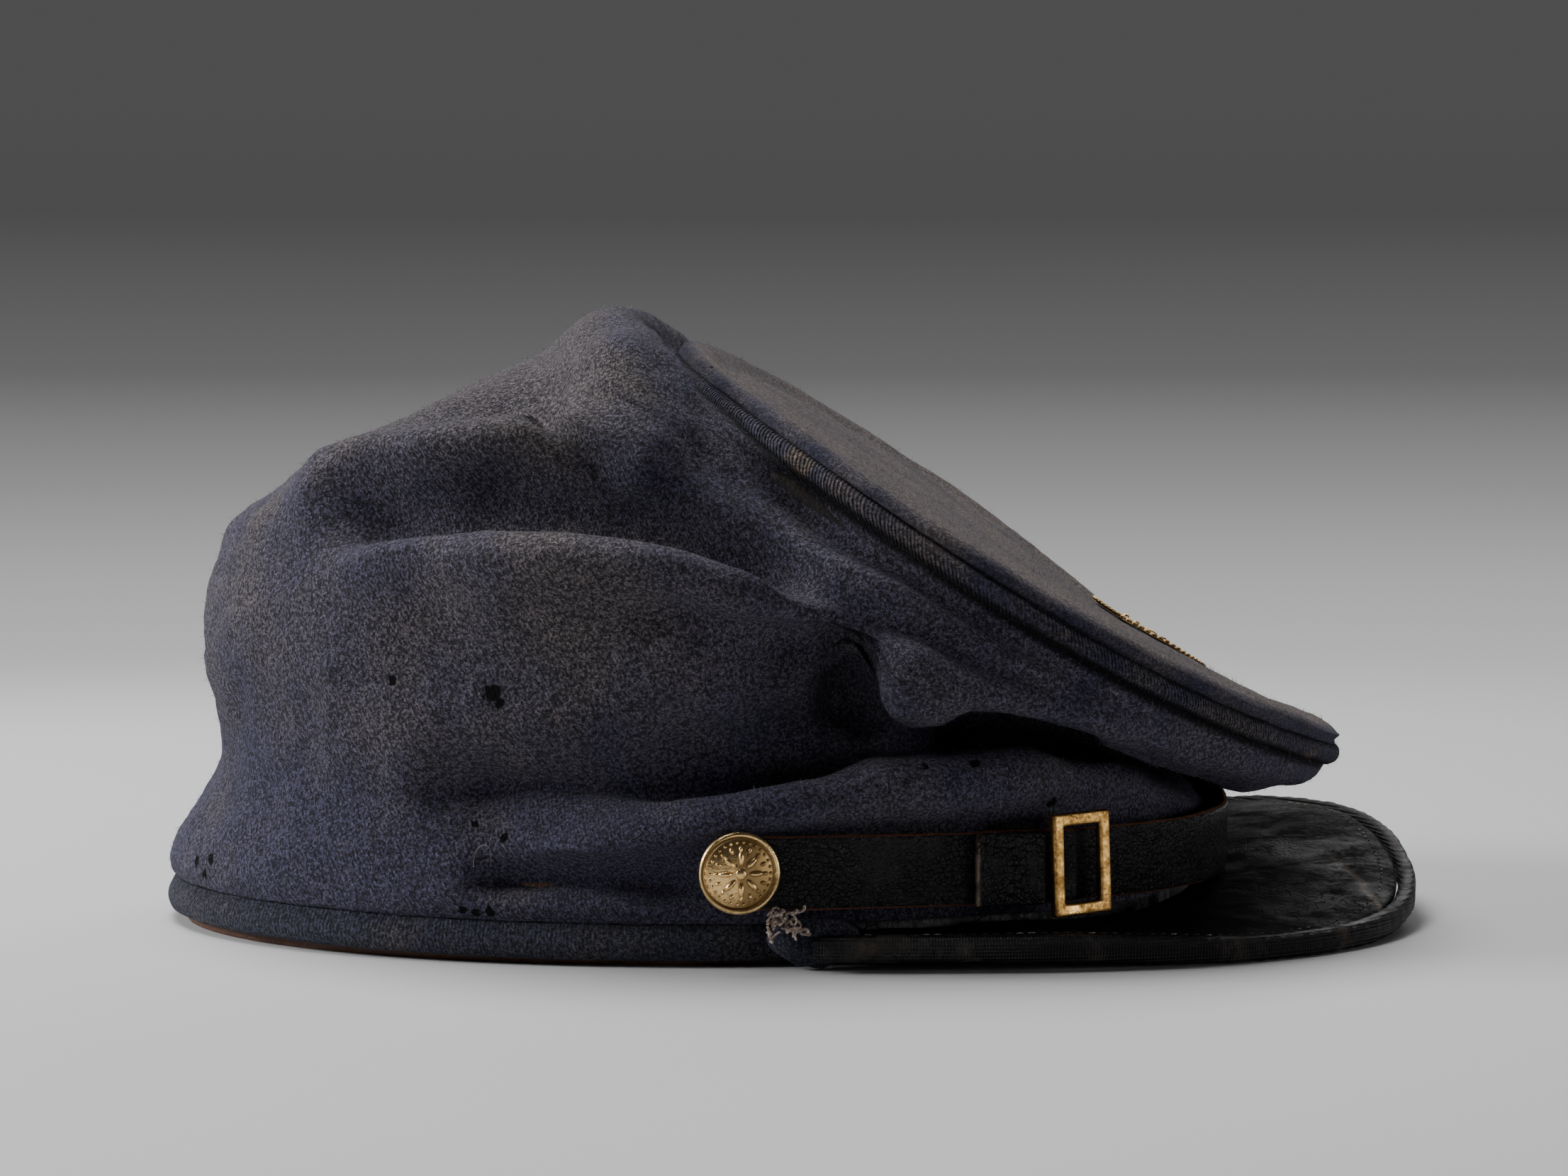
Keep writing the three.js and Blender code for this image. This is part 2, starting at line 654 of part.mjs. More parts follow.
function buckleGeometry() {
  const shape = frameShape(BUCKLE.width, BUCKLE.height, BUCKLE.bar);
  const g = new THREE.ExtrudeGeometry(shape, {
    depth: BUCKLE.thick - 0.8,
    bevelEnabled: true,
    bevelThickness: 0.4,
    bevelSize: 0.35,
    bevelOffset: -0.35,
    bevelSegments: 1,
    curveSegments: 4,
  });
  const t = rad(strapAngle(BUCKLE.x));
  const { n } = strapOval(t);
  const p = strapPoint(t, LAYER * 2 + 0.7, 0);
  const up = vec(0, 0, 1);
  const right = vec(0, 0, 0).crossVectors(up, n).normalize();
  g.rotateZ(rad(-BUCKLE.tilt));
  g.applyMatrix4(new THREE.Matrix4().makeBasis(right, up, n));
  g.translate(p.x, p.y, BUCKLE.z);
  return g;
}
add("buckle", buckleGeometry(), brassBuckle);

// ---- badge on the tip ----
function badgeGeometry() {
  const rings = [];
  const steps = 32;
  const at = (k, scale, h) => {
    const a = (2 * Math.PI * k) / steps;
    const u = (BADGE.long / 2) * scale * Math.cos(a);
    const v = (BADGE.wide / 2) * scale * Math.sin(a);
    const turn = rad(BADGE.turn);
    const f = BADGE.forward + u * Math.cos(turn) - v * Math.sin(turn);
    const s = BADGE.aside + u * Math.sin(turn) + v * Math.cos(turn);
    const base = h + DISC_LIFT + 2.95 + GAP;
    return tipPoint(Math.atan2(s, f), Math.hypot(f, s), base);
  };
  for (const [scale, h] of [
    [0.5, 1.3],
    [0.8, 1.1],
    [0.86, 1.35],
    [0.96, 1.3],
    [1, 0.7],
    [0.96, 0],
    [0.5, 0],
  ]) {
    const ring = [];
    for (let k = 0; k < steps; k++) ring.push(at(k, scale, h));
    rings.push(ring);
  }
  return discGeometry(rings, at(0, 0, 1.4), at(0, 0, 0));
}
add("badge", badgeGeometry(), brassBadge);

export default group;
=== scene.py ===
# %% [markdown]
# # An old wool kepi
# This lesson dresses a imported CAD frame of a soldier's forage cap. The cap is a tall crown of dark blue
# wool that has slumped forward, a round tip with a cord round its edge, a black leather peak, a chin
# strap with a slide buckle, two side buttons and a small badge. The CAD solids already have the right
# places and sizes, so each soft one is copied, smoothed and given the cloth's own creases, and each
# brass one is modelled again with its relief. Everything is in metres, +X to the peak, +Z up, and -Y is
# the wearer's right side, which faces the camera.

# %% Load the frame
import math
import random

import bmesh
import bpy
import numpy as np
from mathutils import Matrix, Vector, noise
from mathutils.bvhtree import BVHTree
from mathutils.kdtree import KDTree


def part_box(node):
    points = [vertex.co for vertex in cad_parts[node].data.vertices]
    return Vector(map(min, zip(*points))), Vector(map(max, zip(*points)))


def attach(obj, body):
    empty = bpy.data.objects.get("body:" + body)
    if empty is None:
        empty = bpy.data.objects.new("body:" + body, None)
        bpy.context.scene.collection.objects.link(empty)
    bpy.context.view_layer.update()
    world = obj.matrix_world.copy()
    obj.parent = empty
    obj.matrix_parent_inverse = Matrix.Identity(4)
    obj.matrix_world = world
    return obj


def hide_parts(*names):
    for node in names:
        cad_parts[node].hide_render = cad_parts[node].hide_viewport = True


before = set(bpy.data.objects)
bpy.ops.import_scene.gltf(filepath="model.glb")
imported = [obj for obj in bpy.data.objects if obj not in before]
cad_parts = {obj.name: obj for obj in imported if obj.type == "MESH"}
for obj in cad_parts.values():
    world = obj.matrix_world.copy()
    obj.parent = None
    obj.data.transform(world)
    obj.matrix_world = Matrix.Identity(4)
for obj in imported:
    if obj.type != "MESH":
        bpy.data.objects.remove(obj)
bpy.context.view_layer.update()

MM = 0.001

# %% [markdown]
# ## Finishes
# A finish is a tree of nodes. Effects that several materials share, such as the wool's nap or the crazed
# leather, are node groups with named inputs, built once. A group only puts out colours, roughness and a
# height. Each material then has its own Principled shader, with its constants set on its own sockets and
# one Bump node that turns the height into relief. These helpers make and join the nodes.


# %% Node helpers
def fill(tree, node, inputs):
    """Sets a node's inputs, each to a value or linked to another node's output."""
    for key, value in inputs.items():
        if isinstance(value, bpy.types.NodeSocket):
            tree.links.new(value, node.inputs[key])
        else:
            node.inputs[key].default_value = value
    return node


def put(tree, kind, inputs=None, **settings):
    """A shader node with its settings and inputs."""
    new = tree.nodes.new("ShaderNode" + kind)
    for key, value in settings.items():
        setattr(new, key, value)
    return fill(tree, new, inputs or {})


def maths(tree, operation, a, b=0.0, clamp=False):
    return put(tree, "Math", {0: a, 1: b}, operation=operation, use_clamp=clamp).outputs[0]


def times(tree, a, b):
    return maths(tree, "MULTIPLY", a, b)


def plus(tree, a, b, clamp=False):
    return maths(tree, "ADD", a, b, clamp)


def vector_maths(tree, operation, inputs):
    return put(tree, "VectorMath", inputs, operation=operation).outputs


print("helpers for numbers ready")


# %% Ranges, colours and noise
def line_range(tree, value, low, high):
    """0 at low and 1 at high, in a straight line."""
    return put(tree, "MapRange", {"Value": value, "From Min": low, "From Max": high}).outputs[0]


def span(tree, value, low, high, to_low=0.0, to_high=1.0):
    """A value's range low..high eased to another range."""
    sockets = {"Value": value, "From Min": low, "From Max": high, "To Min": to_low, "To Max": to_high}
    return put(tree, "MapRange", sockets, interpolation_type="SMOOTHSTEP").outputs[0]


def blend_colours(tree, share, first, second, kind="MIX"):
    sockets = {0: share, 6: first, 7: second}
    return put(tree, "Mix", sockets, data_type="RGBA", blend_type=kind).outputs[2]


def object_place(tree):
    return put(tree, "TexCoord").outputs["Object"]


def grain(tree, place, scale, detail=3.0, roughness=0.55, distortion=0.0, output="Fac"):
    sockets = {"Vector": place, "Scale": scale, "Detail": detail, "Roughness": roughness}
    return put(tree, "TexNoise", {**sockets, "Distortion": distortion}).outputs[output]


def stretched(tree, place, scale):
    return put(tree, "Mapping", {"Vector": place, "Scale": scale}).outputs[0]


def mask_value(tree, name):
    return put(tree, "Attribute", attribute_name=name).outputs["Fac"]


print("helpers for ranges, colours and noise ready")

# %% Groups and materials
LOOK = [("Colour", "Color"), ("Roughness", "Float"), ("Height", "Float")]


def new_group(name, inputs, outputs=LOOK):
    """An empty node group with named sockets, its input node's sockets and its output node."""
    tree = bpy.data.node_groups.new(name, "ShaderNodeTree")
    for label, kind, value in inputs:
        socket = tree.interface.new_socket(label, in_out="INPUT", socket_type="NodeSocket" + kind)
        socket.default_value = value
    for label, kind in outputs:
        tree.interface.new_socket(label, in_out="OUTPUT", socket_type="NodeSocket" + kind)
    return tree, tree.nodes.new("NodeGroupInput").outputs, tree.nodes.new("NodeGroupOutput")


def use_group(tree, group, inputs):
    return put(tree, "Group", inputs, node_tree=group).outputs


def new_paint(name, relief, **constants):
    """A material with its Principled shader, constants set on it, and a Bump of that depth in metres."""
    paint = bpy.data.materials.new(name)
    paint.use_nodes = True
    tree = paint.node_tree
    shader = tree.nodes["Principled BSDF"]
    for key, value in constants.items():
        shader.inputs[key.replace("_", " ")].default_value = value
    bump = put(tree, "Bump", {"Strength": 1.0, "Distance": relief})
    tree.links.new(bump.outputs[0], shader.inputs["Normal"])
    return paint, tree, shader, bump


def wire_paint(tree, shader, bump, colour, roughness, height):
    fill(tree, shader, {"Base Color": colour, "Roughness": roughness})
    fill(tree, bump, {"Height": height})


print("helpers for groups and materials ready")

# %% [markdown]
# The camera comes first, because it decides how much detail each side needs. A long lens stands almost
# level with the cap and looks down on it by about three degrees, so that the tip shows as a thin ellipse
# and the peak's upper face just comes into view.

# %% Camera
def add_object(name, data):
    new = bpy.data.objects.new(name, data)
    bpy.context.collection.objects.link(new)
    return new


def added_by(operator, name, **settings):
    """The object that an operator adds, alone selected."""
    bpy.ops.object.select_all(action="DESELECT")
    operator(**settings)
    bpy.context.object.name = name
    return bpy.context.object


CAMERA_PLACE = (-0.001, -0.770, 0.1027)
CAMERA_DOWN = math.radians(2.9)
camera_data = bpy.data.cameras.new("camera")
camera_data.lens = 90
camera_data.sensor_width = 36
camera_data.clip_start = 0.01
camera = add_object("camera", camera_data)
camera.location = CAMERA_PLACE
camera.rotation_euler = (math.pi / 2 - CAMERA_DOWN, 0, 0)
bpy.context.scene.camera = camera
print("camera:", camera_data.lens, "mm lens at", CAMERA_PLACE)

# %% [markdown]
# The set is a plain pale floor and soft light. A real studio would curve a sheet of paper up behind the
# cap. Here the floor is a disc that fades out at its rim, and the world takes over with the same grey and
# darkens upwards, which looks the same and leaves nothing standing behind the cap when it is seen from
# another side. What lights the cap is another matter: only the camera sees the pale backdrop, and the
# cloth is lit by a dim surround and by the lamps, so that its folds keep their shadows.

# %% Floor
FLOOR_RADIUS, FADE_START, FADE_END = 0.9, 0.42, 0.85
disc = {"vertices": 96, "radius": FLOOR_RADIUS, "fill_type": "NGON"}
floor = added_by(bpy.ops.mesh.primitive_circle_add, "floor", **disc)
floor_paint = bpy.data.materials.new("pale_floor")
floor_paint.use_nodes = True
tree = floor_paint.node_tree
shader = tree.nodes["Principled BSDF"]
shader.inputs["Base Color"].default_value = (0.50, 0.50, 0.51, 1)
shader.inputs["Roughness"].default_value = 0.75
shader.inputs["Specular IOR Level"].default_value = 0.2
from_middle = vector_maths(tree, "LENGTH", {0: object_place(tree)})["Value"]
fill(tree, shader, {"Alpha": span(tree, from_middle, FADE_START, FADE_END, 1.0, 0.0)})
floor.data.materials.append(floor_paint)
print("floor: a disc of", FLOOR_RADIUS, "m")

# %% World
BACKDROP = [
    (0.00, 0.66), (0.10, 0.62), (0.26, 0.48), (0.41, 0.30), (0.59, 0.14), (0.84, 0.078), (1.0, 0.082),
]
SURROUND = 0.045
HORIZON_LOW, HORIZON_HIGH = -0.09, 0.07
world = bpy.data.worlds.new("studio")
bpy.context.scene.world = world
world.use_nodes = True
tree = world.node_tree
height = put(tree, "SeparateXYZ", {0: put(tree, "TexCoord").outputs["Generated"]}).outputs["Z"]
ramp = put(tree, "ValToRGB", {0: line_range(tree, height, HORIZON_LOW, HORIZON_HIGH)})
for k, (at, grey) in enumerate(BACKDROP):
    stops = ramp.color_ramp.elements
    stop = stops[0] if k == 0 else stops.new(at) if k < len(BACKDROP) - 1 else stops[-1]
    stop.position = at
    stop.color = (grey, grey, grey * 1.01, 1)
camera_ray = put(tree, "LightPath").outputs["Is Camera Ray"]
dim = (SURROUND, SURROUND, SURROUND * 1.06, 1)
fill(tree, tree.nodes["Background"], {"Color": blend_colours(tree, camera_ray, dim, ramp.outputs[0])})
print("world: pale backdrop for the eye, dim surround for the light")


# %% Lamps
def soft_lamp(name, place, aim, size, power):
    """A square area lamp that looks at a point."""
    data = bpy.data.lights.new(name, "AREA")
    data.shape = "SQUARE"
    data.size = size
    data.energy = power
    lamp = add_object(name, data)
    lamp.location = place
    lamp.rotation_mode = "QUATERNION"
    lamp.rotation_quaternion = (Vector(aim) - Vector(place)).to_track_quat("-Z", "Y")


soft_lamp("overhead", (-0.30, 0.28, 1.05), (0, 0, 0.04), 0.7, 17)
soft_lamp("left_window", (-1.20, -0.10, 0.58), (0, 0, 0.05), 0.5, 20)
soft_lamp("right_glint", (0.95, -0.42, 0.12), (0.06, -0.04, 0.02), 0.25, 2.0)
soft_lamp("back_fill", (0.5, 1.1, 0.7), (0, 0, 0.05), 0.6, 4)
print("lamps:", len(bpy.data.lights))

# %% [markdown]
# ## Small tools
# Operators act on whatever is selected, and a freshly loaded frame is selected all over. These helpers
# clear the selection, enter edit mode on one piece, apply a modifier at once, and finish a piece by
# saying which body it rides on, which CAD solid it stands for and which finish it takes.


# %% Selection and modifiers
def only(piece):
    """Object mode, with this piece alone selected and active."""
    if bpy.context.object and bpy.context.object.mode != "OBJECT":
        bpy.ops.object.mode_set(mode="OBJECT")
    bpy.ops.object.select_all(action="DESELECT")
    piece.select_set(True)
    bpy.context.view_layer.objects.active = piece


def open_mesh(piece, select="DESELECT"):
    """Edit mode on one piece, with all or none of it selected."""
    only(piece)
    bpy.ops.object.mode_set(mode="EDIT")
    bpy.ops.mesh.select_mode(type="VERT")
    bpy.ops.mesh.select_all(action=select)


def close_mesh():
    bpy.ops.object.mode_set(mode="OBJECT")


def apply_modifier(piece, kind, **settings):
    only(piece)
    modifier = piece.modifiers.new(kind.title(), kind)
    for key, value in settings.items():
        setattr(modifier, key, value)
    bpy.ops.object.modifier_apply(modifier=modifier.name)


def smooth_mesh(piece, levels, kind="CATMULL_CLARK"):
    """Subdivision, applied. The kind SIMPLE adds rows and keeps the shape."""
    apply_modifier(piece, "SUBSURF", levels=levels, render_levels=levels, subdivision_type=kind)


def relax(piece, chosen, repeat):
    """Smooths the vertices whose place in mm is chosen."""
    open_mesh(piece)
    mesh = bmesh.from_edit_mesh(piece.data)
    for vertex in mesh.verts:
        vertex.select = chosen(*(vertex.co / MM))
    mesh.select_flush_mode()
    bmesh.update_edit_mesh(piece.data)
    bpy.ops.mesh.vertices_smooth(factor=0.5, repeat=repeat)
    close_mesh()


def settle(piece):
    """Puts a piece's place, turn and size into its mesh."""
    only(piece)
    bpy.ops.object.transform_apply(location=True, rotation=True, scale=True)


def join_all(name, parts):
    """One object from several."""
    only(parts[0])
    for part in parts:
        part.select_set(True)
    bpy.ops.object.join()
    parts[0].name = name
    parts[0].data.name = name
    return parts[0]


print("tools for selections and modifiers ready")

# %% Copies of CAD solids
def copy_node(node, name):
    """A copy of a CAD solid, its loose triangles merged and paired into quads."""
    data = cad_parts[node].data.copy()
    data.name = name
    data.materials.clear()
    piece = add_object(name, data)
    open_mesh(piece, "SELECT")
    bpy.ops.mesh.remove_doubles(threshold=2e-5)
    bpy.ops.mesh.tris_convert_to_quads(face_threshold=math.pi, shape_threshold=math.pi)
    close_mesh()
    only(piece)
    bpy.ops.object.shade_smooth()
    return piece


def finish(piece, paint, slot, *nodes):
    """Gives a piece its finish and its place in the frame."""
    piece.data.materials.clear()
    piece.data.materials.append(paint)
    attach(piece, "root")
    if nodes:
        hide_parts(*nodes)
    faces = sum(len(p.vertices) - 2 for p in piece.data.polygons)
    print(piece.name, "-", faces, "triangles,", slot)


print("tools for copies ready")

# %% Small maths
def ease(a, b, v):
    """0 below a, 1 above b, smooth between; a may be above b."""
    s = min(1.0, max(0.0, (v - a) / (b - a)))
    return s * s * (3 - 2 * s)


def to_line(x, z, line):
    """Distance to a line of points, over zero above it or left of an upright one, and how far along it
    is, from 0 to 1."""
    best, along, above = 1e9, 0.0, True
    spans = len(line) - 1
    for k in range(spans):
        (ax, az), (bx, bz) = line[k], line[k + 1]
        dx, dz = bx - ax, bz - az
        s = min(1.0, max(0.0, ((x - ax) * dx + (z - az) * dz) / (dx * dx + dz * dz)))
        d = math.hypot(x - ax - s * dx, z - az - s * dz)
        if d < best:
            best, along = d, (k + s) / spans
            above = dx * (z - az) - dz * (x - ax) > 0
            if dx * dx < 0.25 * dz * dz:
                above = x < ax + s * dx
    return best if above else -best, along


def share_round(x, y):
    """How far round from +X a direction is, from 0 to 1."""
    return (math.atan2(y, x) / (2 * math.pi)) % 1.0


def surface_of(piece):
    """A tree that finds where a line meets a piece, or its nearest place."""
    return BVHTree.FromObject(piece, bpy.context.evaluated_depsgraph_get())


def from_right(tree, x, z):
    """Where a line along +Y from the wearer's right, at x and z in mm, first meets a surface."""
    return tree.ray_cast(Vector((x * MM, -0.3, z * MM)), Vector((0, 1, 0)))[0]


def rough(p, size, octaves=3):
    """Fractal noise about -1 to 1, with lumps of that size in mm; p is in mm."""
    return noise.fractal(Vector(p) / size, 1.0, 2.0, octaves)


WRAP = 0.62  # metres of cloth once round the cap
OVAL_MIDDLE_X, PEAK_MIDDLE_X = -19, 20  # mm, the middles of the head opening and of the peak's curve
print("small maths ready")


# %% Masks, maps and moves
def write_mask(piece, name, value_of):
    """A value on each vertex, which materials read by name. value_of takes a place in mm and a normal."""
    layer = piece.data.attributes.new(name, "FLOAT", "POINT")
    for vertex, item in zip(piece.data.vertices, layer.data):
        item.value = value_of(vertex.co / MM, vertex.normal)


def write_map(piece, u_and_v):
    """A UV map in metres of cloth, from a place in mm."""
    layer = piece.data.uv_layers.new(name="cloth")
    places = [u_and_v(v.co / MM) for v in piece.data.vertices]
    for polygon in piece.data.polygons:
        ring = [places[v] for v in polygon.vertices]
        turn = max(u for u, _ in ring) - min(u for u, _ in ring)
        for corner, (u, v) in zip(polygon.loop_indices, ring):
            if turn > WRAP / 2 and u < WRAP / 2:
                u += WRAP
            layer.data[corner].uv = (u, v)


def move_along_normals(piece, mm_of):
    """Sculpts in code: each vertex moves along its normal by a distance in mm."""
    data = piece.data
    moves = [mm_of(v.co / MM, v.normal, v.index) * MM for v in data.vertices]
    normals = [v.normal.copy() for v in data.vertices]
    for vertex, normal, move in zip(data.vertices, normals, moves):
        vertex.co += normal * move
    data.update()


def meet(piece, tree, reach, gap=0.05):
    """Draws the vertices that lie within reach of another surface up to it, all in mm."""
    for vertex in piece.data.vertices:
        near, _, _, distance = tree.find_nearest(vertex.co)
        distance /= MM
        if gap < distance < reach:
            share = (distance - gap) / distance * ease(reach, 0.45 * reach, distance)
            vertex.co = vertex.co.lerp(near, share)
    piece.data.update()


print("tools for masks, maps and moves ready")

# %% [markdown]
# ** Wool.** The cloth is a fulled twill: threads half a millimetre thick under a matted nap. Close up it
# is a grain of dark gaps and paler fibre ends, with bluish and brownish fibres mixed in the yarn. The
# pale flecks are partly pale fibres and partly painted glints, where fibre ends would catch the light.
# Broad patches have faded to brown where light and dust lay on them. The group mixes six noises, from
# single fibres to broad patches, and a faint slanting rib that follows the cloth's own map. Its fade
# input takes a mask of each piece that is partly real fading and partly painted light.

# %% Wool group
wool_group, w_in, w_out = new_group(
    "wool_nap",
    [
        ("Colour", "Color", (0.05, 0.048, 0.07, 1)),
        ("Faded And Lit", "Color", (0.085, 0.075, 0.07, 1)),
        ("Fade", "Float", 0.0),
        ("Grain", "Float", 1.0),
        ("Rib", "Float", 0.3),
        ("Rib Slant", "Float", 0.7),
        ("Rib Pitch", "Float", 1000.0),
    ],
)
g = wool_group
place = object_place(g)
cloth = put(g, "UVMap", uv_map="cloth").outputs[0]
fibre = grain(g, place, 3000, 3, 0.7, 0.2)
tuft = grain(g, place, 1450, 2, 0.5)
blotch = grain(g, place, 70, 4, 0.6)
patch = grain(g, place, 17, 4, 0.6)
split_cloth = put(g, "SeparateXYZ", {0: cloth})
slant = times(g, split_cloth.outputs[1], w_in["Rib Slant"])
across_rib = plus(g, split_cloth.outputs[0], slant)
wobble = times(g, blotch, 0.003)
rib_turn = times(g, plus(g, across_rib, wobble), w_in["Rib Pitch"])
rib = maths(g, "SINE", times(g, rib_turn, 2 * math.pi))
# The fade input carries each piece's fade mask, which on the crown and the tip is partly painted light.
fade_and_light_here = plus(g, w_in["Fade"], span(g, patch, 0.42, 0.68, -0.12, 0.34))
fade_and_light_here = plus(g, fade_and_light_here, span(g, blotch, 0.35, 0.7, -0.12, 0.2), clamp=True)
yarn = blend_colours(g, fade_and_light_here, w_in["Colour"], w_in["Faded And Lit"])
shade = span(g, fibre, 0.34, 0.68, 0.15, 1.9)
shade = times(g, shade, span(g, tuft, 0.36, 0.64, 0.3, 1.7))
shade = times(g, shade, plus(g, 1.0, times(g, rib, 0.07)))
swing = times(g, maths(g, "SUBTRACT", shade, 1.0), w_in["Grain"])
shade = plus(g, 1.0, swing)
shade_colour = put(g, "CombineColor", {0: shade, 1: shade, 2: shade}).outputs[0]
yarn = blend_colours(g, 1.0, yarn, shade_colour, "MULTIPLY")
warm = grain(g, stretched(g, place, (1, 1, 0.6)), 1100, 2, 0.5)
yarn = blend_colours(g, span(g, warm, 0.64, 0.74, 0, 0.35), yarn, (0.16, 0.11, 0.085, 1))
# Pale flecks: partly pale fibres, partly painted glints on the fibre ends.
pale = grain(g, stretched(g, place, (0.5, 1, 1)), 1900, 3, 0.6, 1.2)
yarn = blend_colours(g, span(g, pale, 0.66, 0.76, 0, 0.55), yarn, (0.26, 0.26, 0.30, 1))
height = plus(g, times(g, fibre, 0.9), times(g, tuft, 0.9))
rib_height = times(g, times(g, rib, w_in["Rib"]), 0.25)
height = plus(g, height, rib_height)
fill(g, w_out, {"Colour": yarn, "Roughness": span(g, fibre, 0.2, 0.8, 1.0, 0.82), "Height": height})
print("wool group:", len(g.nodes), "nodes")

# %% [markdown]
# Moths have been at this cap. A hole is a black ragged spot that sinks in at its edge. A second group
# measures the distance to a place, frays it with noise, and puts out a mask. It takes the mask so far as
# an input, so a material can chain as many holes as it needs.

# %% Moth-hole group
HOLE_FRAY, WOOL_RELIEF = 0.0022, 0.0011  # metres
hole_group, h_in, h_out = new_group(
    "moth_hole",
    [("Centre", "Vector", (0, 0, 0)), ("Radius", "Float", 0.001), ("So Far", "Float", 0.0)],
    [("Mask", "Float")],
)
g = hole_group
place = object_place(g)
frayed = put(g, "TexNoise", {"Vector": place, "Scale": 900, "Detail": 3}).outputs["Color"]
frayed = vector_maths(g, "SUBTRACT", {0: frayed, 1: (0.5, 0.5, 0.5)})[0]
frayed = vector_maths(g, "SCALE", {0: frayed, "Scale": HOLE_FRAY})[0]
place = vector_maths(g, "ADD", {0: place, 1: frayed})[0]
gap = vector_maths(g, "DISTANCE", {0: place, 1: h_in["Centre"]})["Value"]
mask = span(g, maths(g, "DIVIDE", gap, h_in["Radius"]), 1.15, 0.75)
fill(g, h_out, {"Mask": maths(g, "MAXIMUM", mask, h_in["So Far"])})


def moth_mask(tree, holes):
    """The mask of a list of holes, each (x, y, z, radius) in mm."""
    so_far = 0.0
    for x, y, z, radius in holes:
        values = {"Centre": (x * MM, y * MM, z * MM), "Radius": radius * MM, "So Far": so_far}
        so_far = use_group(tree, hole_group, values)[0]
    return so_far


def wool_paint(name, colour, faded_and_lit_colour, rib=0.3, slant=0.7, pitch=1000.0, holes=(), depth=1.0):
    """A wool finish. It reads two masks of the piece: the fade mask, partly real fading and partly
    painted light, and the seam mask, which is 1 where no light gets in. The seam mask paints shade there,
    near black; moth holes are dark as well, and both lose the cloth's sheen."""
    gloss = {"Sheen_Roughness": 0.55, "Sheen_Tint": (0.75, 0.78, 0.95, 1), "Specular_IOR_Level": 0.15}
    paint, tree, shader, bump = new_paint(name, WOOL_RELIEF * depth, **gloss)
    values = {"Colour": colour, "Faded And Lit": faded_and_lit_colour, "Fade": mask_value(tree, "fade_and_light")}
    values.update({"Grain": depth, "Rib": rib, "Rib Slant": slant, "Rib Pitch": pitch})
    wool = use_group(tree, wool_group, values)
    tint, rise = wool["Colour"], wool["Height"]
    if holes:
        bitten = moth_mask(tree, holes)
        tint = blend_colours(tree, bitten, tint, (0.0008, 0.0008, 0.0012, 1))
        rise = maths(tree, "SUBTRACT", rise, times(tree, bitten, 2.5))
    # Painted shade: the seam mask darkens the wool to near black in the seams under and beside the cord.
    seam_shade = times(tree, mask_value(tree, "seam"), 0.9)
    tint = blend_colours(tree, seam_shade, tint, (0.003, 0.003, 0.004, 1))
    hidden = maths(tree, "MAXIMUM", seam_shade, bitten) if holes else seam_shade
    fill(tree, shader, {"Sheen Weight": span(tree, hidden, 0, 1, 0.10, 0.0)})
    wire_paint(tree, shader, bump, tint, wool["Roughness"], rise)
    return paint, tree, shader, tint


print("moth-hole group and wool finish ready")

# %% [markdown]
# **Leather.** The peak, its bound edge and the strap are old blackened leather. The varnish has crazed
# into small plates, folds have split it, and rubbing has worn the raised parts to grey and the edges to
# the tan of the hide. One group makes the crazing, the scuffs and the dust for all of them.

# %% Leather group
CRACK_DRIFT = 0.0018  # metres
leather_group, l_in, l_out = new_group(
    "worn_leather",
    [
        ("Colour", "Color", (0.006, 0.006, 0.006, 1)),
        ("Scuffed", "Color", (0.04, 0.036, 0.032, 1)),
        ("Scuff", "Float", 0.3),
        ("Crack Size", "Float", 650.0),
        ("Crack", "Float", 0.5),
        ("Gloss", "Float", 0.25),
    ],
)
g = leather_group
place = object_place(g)
drift = put(g, "TexNoise", {"Vector": place, "Scale": 220, "Detail": 3}).outputs["Color"]
drift = vector_maths(g, "SCALE", {0: drift, "Scale": CRACK_DRIFT})[0]
strayed = vector_maths(g, "ADD", {0: place, 1: drift})[0]
plates = {"Vector": strayed, "Scale": l_in["Crack Size"]}
edges = put(g, "TexVoronoi", plates, feature="DISTANCE_TO_EDGE").outputs["Distance"]
crack_zone = span(g, grain(g, place, 55, 3), 0.38, 0.6)
crack = times(g, span(g, edges, 0.09, 0.0), crack_zone)
crack = times(g, crack, l_in["Crack"])
pores = grain(g, place, 2600, 3, 0.6)
wear = grain(g, stretched(g, place, (1, 1.6, 1)), 75, 6, 0.68, 0.5)
wear_limit = maths(g, "SUBTRACT", 0.86, times(g, l_in["Scuff"], 0.45))
wear_start = maths(g, "SUBTRACT", wear_limit, 0.14)
rubbed = line_range(g, wear, wear_start, wear_limit)
rubbed = times(g, rubbed, span(g, grain(g, place, 600, 4, 0.7), 0.3, 0.62, 0.25, 1.0))
hide = blend_colours(g, rubbed, l_in["Colour"], l_in["Scuffed"])
hide = blend_colours(g, times(g, crack, 0.55), hide, (0.05, 0.035, 0.025, 1))
rough_now = plus(g, l_in["Gloss"], times(g, rubbed, 0.42))
rough_now = plus(g, rough_now, times(g, crack, 0.3))
dull_spots = span(g, grain(g, place, 140, 4, 0.6), 0.3, 0.7, -0.05, 0.12)
rough_now = plus(g, rough_now, dull_spots, clamp=True)
height = maths(g, "SUBTRACT", times(g, pores, 0.25), crack)
height = plus(g, height, times(g, grain(g, place, 1150, 2, 0.5), 0.55))
fill(g, l_out, {"Colour": hide, "Roughness": rough_now, "Height": height})


